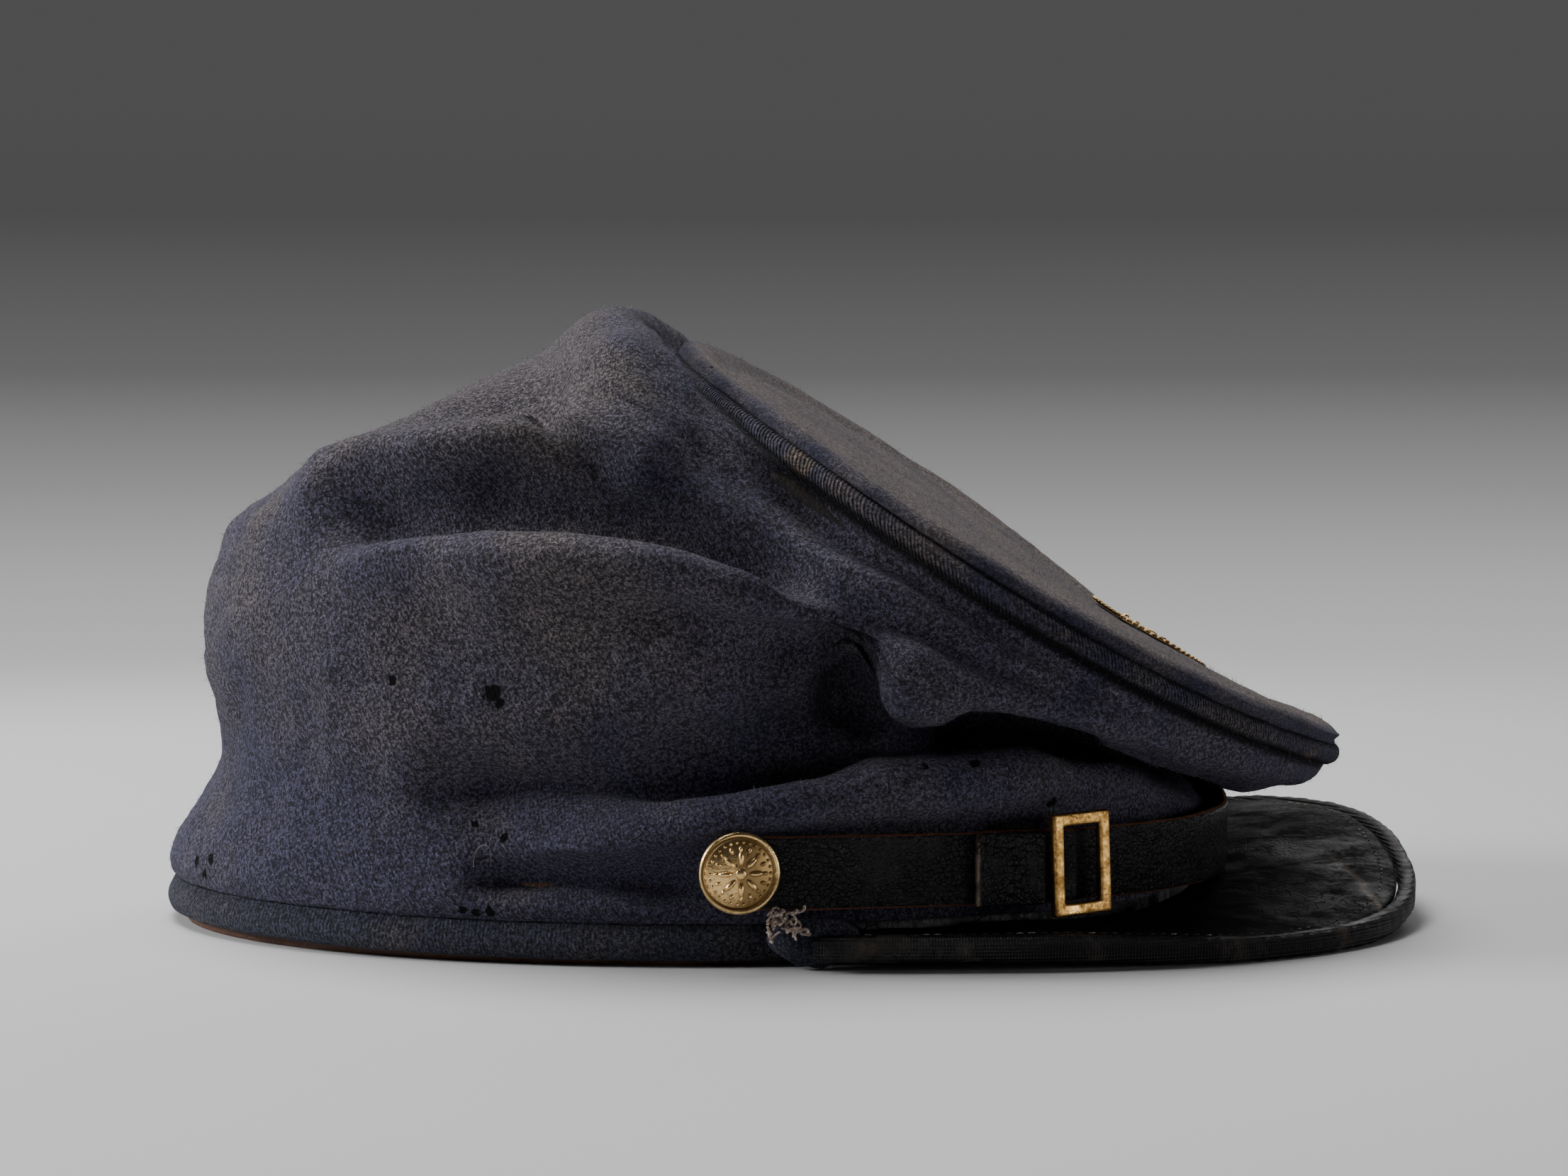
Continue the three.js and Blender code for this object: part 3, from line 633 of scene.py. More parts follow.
def leather_paint(name, relief, colour, scuffed, marks, **constants):
    """A leather finish. The marks are the group's scuff, cracks and gloss."""
    paint, tree, shader, bump = new_paint(name, relief, **constants)
    leather = use_group(tree, leather_group, {"Colour": colour, "Scuffed": scuffed, **marks})
    wire_paint(tree, shader, bump, *[leather[label] for label, _ in LOOK])
    return paint, tree, shader, leather


print("leather group:", len(g.nodes), "nodes")

# %% [markdown]
# **Brass.** The fittings were gilt or polished brass. Handling keeps the raised parts golden, and a
# brown film stays everywhere else, with dark spots where damp has bitten. The group takes a bright and a
# dull colour, and how dull the piece is.

# %% Brass group
brass_group, b_in, b_out = new_group(
    "old_brass",
    [
        ("Bright", "Color", (0.72, 0.46, 0.16, 1)),
        ("Dull", "Color", (0.20, 0.115, 0.035, 1)),
        ("Dullness", "Float", 0.4),
        ("Recess", "Float", 0.0),
    ],
)
g = brass_group
place = object_place(g)
film = grain(g, place, 260, 6, 0.7, 0.4)
fine_film = grain(g, place, 1500, 4, 0.7)
film = plus(g, times(g, film, 0.7), times(g, fine_film, 0.3))
film_limit = maths(g, "SUBTRACT", 0.82, times(g, b_in["Dullness"], 0.6))
film_start = maths(g, "SUBTRACT", film_limit, 0.22)
filmed = line_range(g, film, film_start, film_limit)
filmed = maths(g, "MAXIMUM", filmed, b_in["Recess"])
metal = blend_colours(g, filmed, b_in["Bright"], b_in["Dull"])
spots = span(g, grain(g, place, 900, 3, 0.6), 0.66, 0.74)
metal = blend_colours(g, times(g, spots, 0.7), metal, (0.035, 0.022, 0.012, 1))
scratches = grain(g, stretched(g, place, (0.15, 1, 1)), 4000, 3, 0.6)
height = maths(g, "SUBTRACT", times(g, scratches, 0.35), times(g, spots, 0.5))
height = plus(g, height, times(g, fine_film, 0.5))
fill(g, b_out, {"Colour": metal, "Roughness": span(g, filmed, 0.0, 1.0, 0.24, 0.5), "Height": height})


def brass_paint(name, bright, dull, dullness, recessed=False):
    """A brass finish. If the piece is recessed, its mask recess keeps the film in its hollows."""
    paint, tree, shader, bump = new_paint(name, 0.00012, Metallic=1.0)
    values = {"Bright": bright, "Dull": dull, "Dullness": dullness}
    if recessed:
        values["Recess"] = mask_value(tree, "recess")
    brass = use_group(tree, brass_group, values)
    wire_paint(tree, shader, bump, *[brass[label] for label, _ in LOOK])
    return paint


print("brass group:", len(g.nodes), "nodes")

# %% [markdown]
# ## The crown
# On the real cap the crown is one band of wool, about 120 mm tall at the back, that stands unsupported
# and has collapsed forward into folds. It could be draped by cloth simulation, but these folds are set in
# the cloth after long storage, so they are better placed one by one. The CAD wall already carries the
# large ones. Its copy is subdivided twice, and then every vertex is moved along its normal by a depth
# that comes from lines of folds, given as x and z in mm on one side of the cap, and from broad noise.

# %% Crown: outer and inner skins
SHARP_RIM = math.radians(62)


def mark_inside(piece):
    """The mask inside: 0 on a shell's outer skin and 1 on its inner one. It spreads over the outer skin
    from its widest face, and stops at the sharp rims."""
    mesh = bmesh.new()
    mesh.from_mesh(piece.data)
    layer = mesh.verts.layers.float.new("inside")
    for vertex in mesh.verts:
        vertex[layer] = 1.0
    start = max(mesh.faces, key=lambda f: abs(f.calc_center_median().y))
    seen, queue = {start}, [start]
    while queue:
        face = queue.pop()
        for vertex in face.verts:
            vertex[layer] = 0.0
        for edge in face.edges:
            if edge.calc_face_angle(0) > SHARP_RIM:
                continue
            for other in edge.link_faces:
                if other not in seen:
                    seen.add(other)
                    queue.append(other)
    mesh.to_mesh(piece.data)
    mesh.free()
    return len(seen)


crown = copy_node("crown_side", "crown")
outer_faces = mark_inside(crown)
print("crown:", outer_faces, "outer faces of", len(crown.data.polygons))


def pocket_or_lip(x, y, z):
    return (y < 0 and -4 < x < 66 and 34 < z < 66) or (x > 72 and z < 46)


relax(crown, pocket_or_lip, 2)
smooth_mesh(crown, 2)
print("crown after smoothing:", len(crown.data.polygons), "faces")

# %% [markdown]
# A crease in thick wool has a sharp lip on one side and a soft slope on the other. So each line below has
# a height, under zero for a valley, and two widths: how far it reaches above the line and how far below
# it, or to the left and right where the line stands upright. The lines on the wearer's right are placed
# one by one, from the brow under the crest down to the roll over the strap. Those on the left repeat the
# same way of slumping with other numbers, because a cap never folds the same on both sides.

# %% Crown: fold lines
RIGHT, LEFT = -1, 1
FOLDS = {
    # name: side, height, reach above, reach below, line of (x, z)
    "brow": (
        RIGHT, 6.0, 4.6, 3.4, [(-94, 79), (-84, 86), (-73, 89.5), (-54, 91.6), (-42, 93), (-30, 92)],
    ),
    "behind_brow": (RIGHT, -5.0, 7.0, 4.0, [(-84, 96), (-66, 100.5), (-54, 102.5), (-46, 104)]),
    "under_brow": (
        RIGHT, -8.6, 4.0, 3.6,
        [(-90, 73), (-76, 80.3), (-54, 82.8), (-31.5, 81.4), (-18, 77.6), (-4, 71.8), (9, 66)],
    ),
    "long_lip": (
        RIGHT, 5.0, 3.2, 9.0, [(-68, 71), (-52, 73.2), (-37, 73.4), (-22, 72.2), (-9, 69.2), (3, 63.4)],
    ),
    "lip_shade": (RIGHT, -3.0, 3.2, 4.5, [(-30, 65), (-16, 63.5), (-4, 60), (4, 56)]),
    "long_lip_front": (RIGHT, 3.0, 2.4, 4.5, [(4, 64), (19, 57), (33.7, 50.5), (50, 45), (63.6, 40)]),
    "lip_valley": (RIGHT, -3.0, 2.6, 2.2, [(4, 68.3), (22.9, 59.6), (36.4, 53.2), (52, 47)]),
    "belly": (RIGHT, 2.4, 9.0, 12.0, [(-64, 60), (-40, 60), (-18, 56), (-4, 52)]),
    "under_belly": (
        RIGHT, -9.0, 8.0, 4.0, [(-72, 31), (-56, 29), (-38, 30.5), (-20, 34.2), (0, 36.6), (15, 37)],
    ),
    "pocket": (RIGHT, -10.5, 5.2, 4.0, [(13.5, 64), (11.6, 57), (11.2, 51), (12.4, 46.4), (17, 43.2)]),
    "pocket_bulge": (RIGHT, 3.6, 5.0, 6.0, [(19.5, 59), (20.5, 53), (24, 49), (32, 48)]),
    "cavity": (RIGHT, -6.0, 2.8, 2.6, [(25, 41.0), (36.4, 40.4), (48, 40.6), (58, 39.6)]),
    "strap_roll": (
        RIGHT, 5.8, 3.2, 5.4,
        [
            (-52, 17.6), (-38, 22.6), (-28, 25.6), (-14, 28.6), (2.5, 31.4), (23, 32.4), (43, 32.4),
            (57, 31),
        ],
    ),
    "left_dimple": (RIGHT, -6.0, 4.0, 3.0, [(-60, 14.5), (-44, 15.2), (-28, 14), (-14, 12.6)]),
    "hem_roll": (RIGHT, 1.4, 3.0, 3.0, [(-78, 10), (-44, 9.4), (-16, 8.6)]),
    "crest_left": (RIGHT, -6.5, 12.0, 1.8, [(-43.6, 106), (-43.8, 102), (-43.6, 97), (-46, 93.5)]),
    "crest_knob": (RIGHT, 3.6, 6.0, 7.0, [(-34, 114), (-31.5, 104), (-27, 95), (-21, 87)]),
    "cord_valley": (RIGHT, -2.6, 3.0, 3.4, [(-19, 105.5), (-9.7, 93.7), (3.8, 81), (20, 70)]),
    "flap_ridge": (
        RIGHT, 2.6, 2.4, 2.8, [(-6, 77), (9.3, 70.4), (22.9, 64), (36.4, 57.4), (50, 50.8), (63.6, 44.6)],
    ),
    "back_hollow": (RIGHT, -2.0, 8.0, 8.0, [(-108, 45), (-96, 44), (-84, 43)]),
    "left_brow": (LEFT, 3.0, 5.0, 4.4, [(-96, 76), (-80, 85), (-62, 89), (-48, 91)]),
    "left_under": (LEFT, -5.0, 5.0, 3.4, [(-78, 77), (-50, 78), (-24, 74), (0, 66), (14, 59)]),
    "left_lip": (LEFT, 4.0, 3.2, 8.0, [(-70, 68), (-44, 69), (-16, 65), (8, 57), (30, 50), (52, 42)]),
    "left_belly": (LEFT, -4.0, 9.0, 4.6, [(-50, 36), (-14, 36), (12, 37), (34, 40)]),
    "left_roll": (LEFT, 3.2, 3.4, 7.0, [(-46, 24), (-16, 29), (14, 32), (46, 31)]),
    "left_pocket": (LEFT, -5.0, 5.0, 3.6, [(16, 57), (17, 50), (24, 45), (36, 42)]),
}
HIGH_FOLDS = ("behind_brow", "crest_left")  # these fade out further from the cap's middle plane
print(len(FOLDS), "folds")


# %% Crown: depth of the folds
def fold_depth(p):
    """Sum of the folds at a place in mm, fading out near the back and front where the sides meet."""
    depth = 0.0
    for name, (side, height, reach_above, reach_below, line) in FOLDS.items():
        start, full = (24, 44) if name in HIGH_FOLDS else (6, 30)
        on_side = ease(start, full, p.y * side)
        if on_side <= 0:
            continue
        distance, along = to_line(p.x, p.z, line)
        reach = reach_above if distance > 0 else reach_below
        if abs(distance) > 2.6 * reach:
            continue
        ends = ease(-0.02, 0.2, along) * ease(1.02, 0.8, along)
        depth += on_side * height * ends * math.exp(-((distance / reach) ** 2))
    return depth


def crown_depth(p):
    """How far the cloth stands out or in, in mm. It fades out at the hem and under the tip's edge."""
    low = ease(7, 16, p.z)
    broad = 0.9 * rough(p + Vector((3, 0, 9)), 34, 3)
    small = 0.5 * rough(Vector((p.x, p.y, p.z * 1.6)), 9, 3)
    lumps = 0.2 * rough(p, 3.4, 2)
    return low * (broad + small + fold_depth(p)) + lumps


inside = [item.value for item in crown.data.attributes["inside"].data]
near_rim = surface_of(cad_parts["disc_piping"])


def to_rim(p):
    """Distance in mm from the CAD cord round the tip."""
    return near_rim.find_nearest(p * MM)[3] / MM


def tight_seam(p):
    """1 along the upper right of the tip, where the wall is drawn in under the cord; there the groove is
    deeper and the painted shade under the cord is wider.
    """
    return ease(12, -6, p.x) * ease(0, -20, p.y)


def outer_move(p):
    """The folds, which fade out near the cord, and a groove 4 mm from it where the wall turns down."""
    reach = to_rim(p)
    groove = (0.7 + 1.1 * tight_seam(p)) * math.exp(-(((reach - 4.4) / 1.6) ** 2))
    return crown_depth(p) * ease(2.5, 9.0, reach) - groove


def crown_seam_shade(p, normal):
    """Painted shade: 1 in the seam under the cord, where no light gets in; the wool there is painted near
    black.
    """
    reach = 2.6 + 1.6 * tight_seam(p)
    return ease(reach, 0.35 * reach, to_rim(p))


print("depth at the strap roll:", round(fold_depth(Vector((0, -60, 31))), 1), "mm")

# %% Crown: folded
outer = [v for v in crown.data.vertices if inside[v.index] < 0.5]
outer_places = KDTree(len(outer))
for vertex in outer:
    outer_places.insert(vertex.co, vertex.index)
outer_places.balance()
moves = {v.index: outer_move(v.co / MM) for v in outer}


def crown_move(p, normal, index):
    """The inner skin follows the outer vertex nearest to it, so that the two never cross."""
    if inside[index] < 0.5:
        return moves[index]
    return -moves[outer_places.find(p * MM)[1]] - 0.1


move_along_normals(crown, crown_move)
for vertex in crown.data.vertices:
    x, y, z = vertex.co / MM
    droop = 4.0 * math.exp(-(((x - 19) / 12) ** 2) - ((z - 47) / 6) ** 2) * ease(-30, -50, y)
    vertex.co.z -= droop * MM


def pocket_top_or_ridge(x, y, z):
    pocket_top = y < -30 and -2 < x < 22 and 54 < z < 67
    return pocket_top or (-40 < y < 8 and -84 < x < -34 and z > 90)


relax(crown, pocket_top_or_ridge, 4)
meet(crown, near_rim, 3.4, 0.25)
print("crown: creased,", len(FOLDS), "folds")


# %% Crown: masks and cloth map
def fade_and_painted_light(p, normal):
    """Partly real fading and partly painted light. Broad patches are faded where light and dust settle;
    the cloth is also painted paler and browner high up and on faces that look up, where light falls from
    above, and kept blue near the hem, darker as painted shade.
    """
    up = ease(0.05, 0.95, normal.z)
    patch = ease(-0.25, 0.45, rough(p, 26, 3))
    belly = math.exp(-(((p.x + 32) / 34) ** 2) - ((p.z - 62) / 13) ** 2)
    back_slope = ease(84, 100, p.z) * ease(-30, -44, p.x)
    fade_and_light_share = 0.3 * ease(22, 46, p.z) + 0.45 * up * patch + 0.12 * patch + 0.6 * belly
    return min(1.0, fade_and_light_share * (0.3 + 0.7 * ease(18, -24, p.x)) + 0.6 * back_slope)


def round_the_wall(p):
    return WRAP * share_round(p.x - OVAL_MIDDLE_X, p.y), p.z * MM


write_mask(crown, "fade_and_light", fade_and_painted_light)
write_mask(crown, "seam", crown_seam_shade)
write_map(crown, round_the_wall)
CROWN_HOLES = [
    (-71.5, 50.4, 0.9), (-53, 48.6, 1.6), (-51.6, 46.8, 1.1), (-112, 13.6, 1.1), (-108.5, 14.6, 1.1),
    (-110, 11.4, 0.9), (-56.6, 24.6, 0.9), (-51, 22.6, 0.9), (-58.5, 9.7, 0.9), (-56.0, 9.3, 1.0),
    (-53.6, 9.4, 0.9), (24, 36, 0.8), (33, 36, 1.0), (47.3, 28, 1.2),
]
crown_tree = surface_of(crown)
holes = [(*(from_right(crown_tree, x, z) / MM), radius) for x, z, radius in CROWN_HOLES]
# Painted light: the fade mask turns this blue to the paler brown on upward and high faces, and keeps it
# dark blue low down, besides the real faded patches.
crown_paint, tree, shader, tint = wool_paint(
    "wall_wool", (0.050, 0.046, 0.081, 1), (0.092, 0.078, 0.080, 1), rib=0.25, holes=holes
)
weave = grain(tree, object_place(tree), 900, 3)
lining = blend_colours(tree, weave, (0.014, 0.011, 0.009, 1), (0.034, 0.026, 0.019, 1))
fill(tree, shader, {"Base Color": blend_colours(tree, mask_value(tree, "inside"), tint, lining)})
finish(crown, crown_paint, "felt_wall", "crown_side")

# %% [markdown]
# ## The tip, its cord and the hem
# The tip is a disc of the same wool, sewn to the crown with a cord of cloth between them. Its rim is a
# soft roll where the cloth turns down into the seam. The cord is twill cut on the slant, so its ribs run
# across it. The hem has a folded strip with upright ribs. Each is a smoothed copy of its CAD solid, with
# a cloth map along its length so that the ribs can follow it round.


# %% Tip disc
def place_on_ring(p):
    """Length along the tip's edge and height, in metres."""
    return WRAP * share_round((p.x - TIP_MIDDLE.x) / math.cos(TIP_SLOPE), p.y), p.z * MM


tip_low, tip_high = (Vector(c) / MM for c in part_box("crown_disc"))
TIP_MIDDLE = (tip_low + tip_high) / 2
TIP_SLOPE = math.radians(31.1)

tip = copy_node("crown_disc", "tip_disc")
smooth_mesh(tip, 1, "SIMPLE")
smooth_mesh(tip, 2)


def tip_move(p, normal, index):
    """A rolled edge, a dip inside it, padding under the badge and a hollow in front of it."""
    facing = ease(0.2, 0.7, normal.z)
    reach = to_rim(p)
    rolled = 0.9 * ease(-0.3, 0.3, normal.z) * ease(7.4, 3.6, reach)
    seam_dip = 0.5 * math.exp(-(((reach - 9) / 2) ** 2))
    padding = 2.6 * math.exp(-(((p.x - 76) / 22) ** 2) - ((p.y - 24) / 20) ** 2)
    hollow = 2.2 * math.exp(-(((p.x - 78) / 24) ** 2) - ((p.y + 16) / 13) ** 2)
    under = ease(0.2, 0.7, -normal.z)
    flat = padding - hollow - seam_dip + 0.5 * rough(p, 24, 3)
    return facing * flat + under * (hollow - padding) + 0.12 * rough(p, 3.2, 2) + rolled


move_along_normals(tip, tip_move)
meet(tip, near_rim, 2.2, 0.15)


def tip_fade_and_painted_light(p, normal):
    """Partly real fading and partly painted light: the flat of the tip, which faces the light, is the
    most faded part of the cap, painted pale; its rolled edge has kept its blue, painted darker than the
    wall as shade.
    """
    flat = ease(2.4, 4.4, to_rim(p))
    return min(1.0, flat * (0.85 + 0.3 * rough(p, 18, 2)) + 0.08)


write_mask(tip, "fade_and_light", tip_fade_and_painted_light)
write_map(tip, lambda p: (p.x * MM, p.y * MM))
TIP_HOLES = [(97.5, -38, 43.3, 0.6), (-14.5, -30, 107, 0.6)]
tip_looks = {"rib": 0.2, "slant": 0.9, "holes": TIP_HOLES, "depth": 0.6}
# The dark blue of the rolled edge is partly painted shade; the pale brown of the flat is partly painted
# light.
tip_paint = wool_paint("tip_wool", (0.027, 0.026, 0.048, 1), (0.122, 0.100, 0.088, 1), **tip_looks)[0]
finish(tip, tip_paint, "felt_tip", "crown_disc")

# %% Cord round the tip
cord = copy_node("disc_piping", "tip_cord")
smooth_mesh(cord, 2)
CORD_PATCHES = Vector((5, 0, 0))
write_mask(cord, "fade_and_light", lambda p, n: 0.05 + 0.8 * ease(0.34, 0.5, rough(p + CORD_PATCHES, 11, 2)))
write_map(cord, place_on_ring)


def cord_flank_shade(p, normal):
    """Painted shade: 1 on the two flanks of the cord, against the wall below it and against the tip above
    it, painted near black.
    """
    toward_tip = normal.x * math.sin(TIP_SLOPE) + normal.z * math.cos(TIP_SLOPE)
    return max(ease(-0.15, -0.8, toward_tip), 0.8 * ease(0.6, 0.97, toward_tip))


write_mask(cord, "seam", cord_flank_shade)


def cord_move(p, normal, index):
    """The cord is full, with a slanting rib every 2.1 mm."""
    turn = place_on_ring(p)[0]
    return 0.6 + 0.05 * math.sin(turn * 2 * math.pi / 0.0021 + 1.5 * normal.z) + 0.15 * rough(p, 5, 2)


move_along_normals(cord, cord_move)
cord_paint = wool_paint(
    "cord_wool", (0.030, 0.030, 0.056, 1), (0.13, 0.095, 0.065, 1), rib=1.4, slant=0.35, pitch=1100
)[0]
finish(cord, cord_paint, "felt_piping", "disc_piping")

# %% Hem strip
hem = copy_node("base_welt", "hem_strip")
smooth_mesh(hem, 2)
write_mask(hem, "fade_and_light", lambda p, n: 0.12 + 0.4 * ease(0.1, 0.5, rough(p, 17, 2)))
write_map(hem, round_the_wall)
move_along_normals(hem, lambda p, n, i: 0.1 * rough(p, 6, 3))
meet(hem, crown_tree, 2.8, 0.1)
hem_paint = wool_paint(
    "hem_wool", (0.028, 0.030, 0.048, 1), (0.06, 0.052, 0.05, 1), rib=0.35, slant=0.15, pitch=1100
)[0]
finish(hem, hem_paint, "felt_welt", "base_welt")

# %% [markdown]
# ## Peak, binding and band
# The peak is sole leather, blacked and varnished, with a slight twist from years on a shelf. A tape of
# ribbed black cloth is folded over its edge and sewn through, so a row of stitches runs inside the edge.
# A bend across the front has cracked the varnish in a pale arc. The mesh follows the CAD plate. The arc
# and the stains are masks on the vertices, which are about a millimetre apart.

# %% Peak
PEAK_BEND = [(103, -76), (109, -62), (111.5, -40), (109, -14), (103, 8)]
DRY_PATCHES = [(40, -74, 9), (60, -70, 14), (96, -60, 12), (84, -30, 22), (70, 30, 26), (108, 20, 14)]

peak = copy_node("peak", "peak_leather")
smooth_mesh(peak, 1, "SIMPLE")
smooth_mesh(peak, 2)


def bend_line(p):
    """1 on the pale arc of the bend, and 0 a millimetre from it."""
    stray = 1.2 * rough(p, 9, 3)
    distance, along = to_line(p.x + stray, p.y, PEAK_BEND)
    return math.exp(-((distance / 0.55) ** 2)) * ease(0, 0.1, along) * ease(1, 0.75, along)


def dry_share(p):
    """1 where the varnish has dried out, in the patches and at random between them."""
    patches = [math.exp(-(math.hypot(p.x - x, p.y - y) / r) ** 2) for x, y, r in DRY_PATCHES]
    return min(1.0, 0.5 * max(patches) + 0.5 * ease(-0.3, 0.5, rough(p, 15, 4)))


def peak_move(p, normal, index):
    """The upper face is slightly wavy, and lower along the bend."""
    top = ease(-0.2, 0.4, normal.z)
    waves = 0.5 * rough((p.x, p.y, 0), 30, 3) + 0.12 * rough((p.x, p.y * 0.5, 0), 5, 3)
    return top * (waves - 0.3 * bend_line(p))


move_along_normals(peak, peak_move)
write_mask(peak, "bend", lambda p, n: bend_line(p))
write_mask(peak, "dry", lambda p, n: dry_share(p))


peak_paint, tree, shader, leather = leather_paint(
    "peak_varnish", 0.00022, (0.0048, 0.0047, 0.0047, 1), (0.014, 0.0135, 0.013, 1),
    {"Scuff": 0.55, "Crack Size": 520.0, "Crack": 0.6, "Gloss": 0.5}, Specular_IOR_Level=0.08,
)
dry = mask_value(tree, "dry")
bare = times(tree, mask_value(tree, "bend"), 0.7)
tone = blend_colours(tree, bare, leather["Colour"], (0.30, 0.25, 0.20, 1))
tone = blend_colours(tree, times(tree, dry, 0.35), tone, (0.013, 0.0125, 0.0125, 1))
matt = plus(tree, leather["Roughness"], times(tree, dry, 0.28), clamp=True)
fill(tree, shader, {"Base Color": tone, "Roughness": matt})
finish(peak, peak_paint, "peak_leather", "peak")
peak_tree = surface_of(peak)

# %% Binding
TAPE_RIB, TAPE_THREAD = 0.0011, 0.00062  # metres
binding = copy_node("peak_binding", "peak_edge_tape")
smooth_mesh(binding, 2)


def round_the_peak(p):
    return WRAP * share_round(p.x - PEAK_MIDDLE_X, p.y), p.z * MM


def tape_move(p, normal, index):
    """The tape's ribs run across it."""
    turn = round_the_peak(p)[0]
    return 0.09 * math.sin(turn * 2 * math.pi / TAPE_RIB) + 0.14 * rough(p, 7, 3)


move_along_normals(binding, tape_move)
write_map(binding, round_the_peak)
tape_paint, tree, shader, leather = leather_paint(
    "edge_tape_black", 0.0002, (0.0055, 0.0055, 0.006, 1), (0.06, 0.05, 0.042, 1),
    {"Scuff": 0.45, "Crack Size": 1500.0, "Crack": 0.3, "Gloss": 0.42}, Specular_IOR_Level=0.2,
)
threads = put(tree, "SeparateXYZ", {0: put(tree, "UVMap", uv_map="cloth").outputs[0]}).outputs
weft, warp = (maths(tree, "SINE", times(tree, threads[k], 2 * math.pi / TAPE_THREAD)) for k in (0, 1))
weave = times(tree, plus(tree, weft, warp), 0.35)
bump = next(n for n in tree.nodes if n.type == "BUMP")
fill(tree, bump, {"Height": plus(tree, leather["Height"], weave)})
finish(binding, tape_paint, "binding_leather", "peak_binding")

# %% Head band
band = copy_node("sweatband", "head_band")
smooth_mesh(band, 2, "SIMPLE")
smooth_mesh(band, 1)
move_along_normals(band, lambda p, n, i: 0.25 * ease(3, 10, p.z) * rough(p, 14, 3))


def band_shade(p, normal):
    """Painted shade: 1 on the side that faces the wool, painted near black as if in the wall's shadow."""
    out = Vector((p.x - OVAL_MIDDLE_X, p.y, 0)).normalized()
    return ease(0.1, 0.6, normal.dot(out)) * ease(-20, 5, p.x)


write_mask(band, "shade", band_shade)
band_paint, tree, shader, leather = leather_paint(
    "russet_hide", 0.0003, (0.085, 0.028, 0.013, 1), (0.19, 0.10, 0.055, 1),
    {"Scuff": 0.6, "Crack Size": 420.0, "Crack": 0.5, "Gloss": 0.45},
)
# Painted shade: the band turns near black on its side against the wool.
painted_band_shade = blend_colours(tree, mask_value(tree, "shade"), leather["Colour"], (0.006, 0.006, 0.008, 1))
fill(tree, shader, {"Base Color": painted_band_shade})
finish(band, band_paint, "band_leather", "sweatband")

# %% [markdown]
# ## The chin strap
# Two halves of patent strap meet at a slide buckle, and the end of the short half is turned back on
# itself. The varnish is thick and glossy, crazed where the strap was bent, and dull where it was handled.
# The cut edges were never blacked, and show the red-brown hide. The solid is an even ribbon, so simple
# subdivision first gives it rows to keep it flat, and one smoothing then rounds its edges.


# %% Straps
def strap_copy(node, name, move, cut):
    """A copy of a strap's solid, with its uneven face and the mask of its raw edges."""
    piece = copy_node(node, name)
    smooth_mesh(piece, 2, "SIMPLE")
    smooth_mesh(piece, 1)
    move_along_normals(piece, move)
    write_mask(piece, "cut", cut)
    return piece


def cut_edge(p, normal):
    """1 on the strap's upper and lower cut edges."""
    return ease(0.45, 0.85, abs(normal.z))


def strap_paint(name, gloss, crack, crack_size, scuff, raw=(0.15, 0.055, 0.028, 1)):
    """Patent leather, with the raw hide's colour where the mask cut is 1."""
    paint, tree, shader, leather = leather_paint(
        name, 0.0012, (0.0026, 0.0026, 0.0029, 1), (0.010, 0.0095, 0.0095, 1),
        {"Scuff": scuff, "Crack Size": crack_size, "Crack": crack, "Gloss": gloss},
        Specular_IOR_Level=0.25,
    )
    edge = mask_value(tree, "cut")
    rough_now = plus(tree, leather["Roughness"], times(tree, edge, 0.5), clamp=True)
    tone = blend_colours(tree, edge, leather["Colour"], raw)
    fill(tree, shader, {"Base Color": tone, "Roughness": rough_now})
    return paint


# node, unevenness in mm, name of the paint, crack size, scuff
HALVES = [
    ("strap_long", 0.15, "patent_long", 1000.0, 0.2),
    ("strap_short", 0.18, "patent_short", 1100.0, 0.25),
]
for node, uneven, paint_name, crack_size, scuff in HALVES:
    half = strap_copy(node, node + "_half", lambda p, n, i: uneven * rough(p, 12, 3), cut_edge)
    finish(half, strap_paint(paint_name, 0.14, 0.45, crack_size, scuff), node + "_leather", node)


# %% Turned-back end of the strap
def thin_end(p, normal, index):
    """The cut end is pared thin, so that it lies flat."""
    outer = ease(0.3, 0.8, -normal.y)
    return 0.16 * rough(p, 9, 3) - outer * 0.95 * ease(37.5, 33.0, p.x)


def torn_end(p, normal):
    """1 in ragged spots along the cut end."""
    return math.exp(-(((p.x - 33.4) / 0.4) ** 2)) * (0.6 + 0.8 * rough(p, 1.5, 2))


strap_end = strap_copy("strap_fold", "strap_turned_end", thin_end, torn_end)
end_paint = strap_paint("patent_end", 0.17, 0.9, 800.0, 0.3, raw=(0.32, 0.24, 0.19, 1))
finish(strap_end, end_paint, "strap_fold_leather", "strap_fold")

# %% [markdown]
# ## Brass
# The side buttons are stamped domes with a rolled rim, sewn through the strap ends. A profile is spun
# once round for the body. A plain rosette and a ring of beads stand in for any crest: one petal and one
# bead are modelled, then copied round. The dirt that stays in the hollows is a mask on the vertices.


# %% Turned shapes and rings
def turned(name, profile, steps):
    """A profile of (radius, height) in mm spun about Z into a closed solid."""
    mesh = bpy.data.meshes.new(name)
    points = [(r * MM, 0, h * MM) for r, h in profile]
    mesh.from_pydata(points, [(k, k + 1) for k in range(len(points) - 1)], [])
    piece = add_object(name, mesh)
    open_mesh(piece, "SELECT")
    bpy.ops.mesh.spin(steps=steps, angle=2 * math.pi, center=(0, 0, 0), axis=(0, 0, 1))
    bpy.ops.mesh.select_all(action="SELECT")
    bpy.ops.mesh.remove_doubles(threshold=1e-5)
    bpy.ops.mesh.normals_make_consistent(inside=False)
    close_mesh()
    bpy.ops.object.shade_smooth()
    return piece


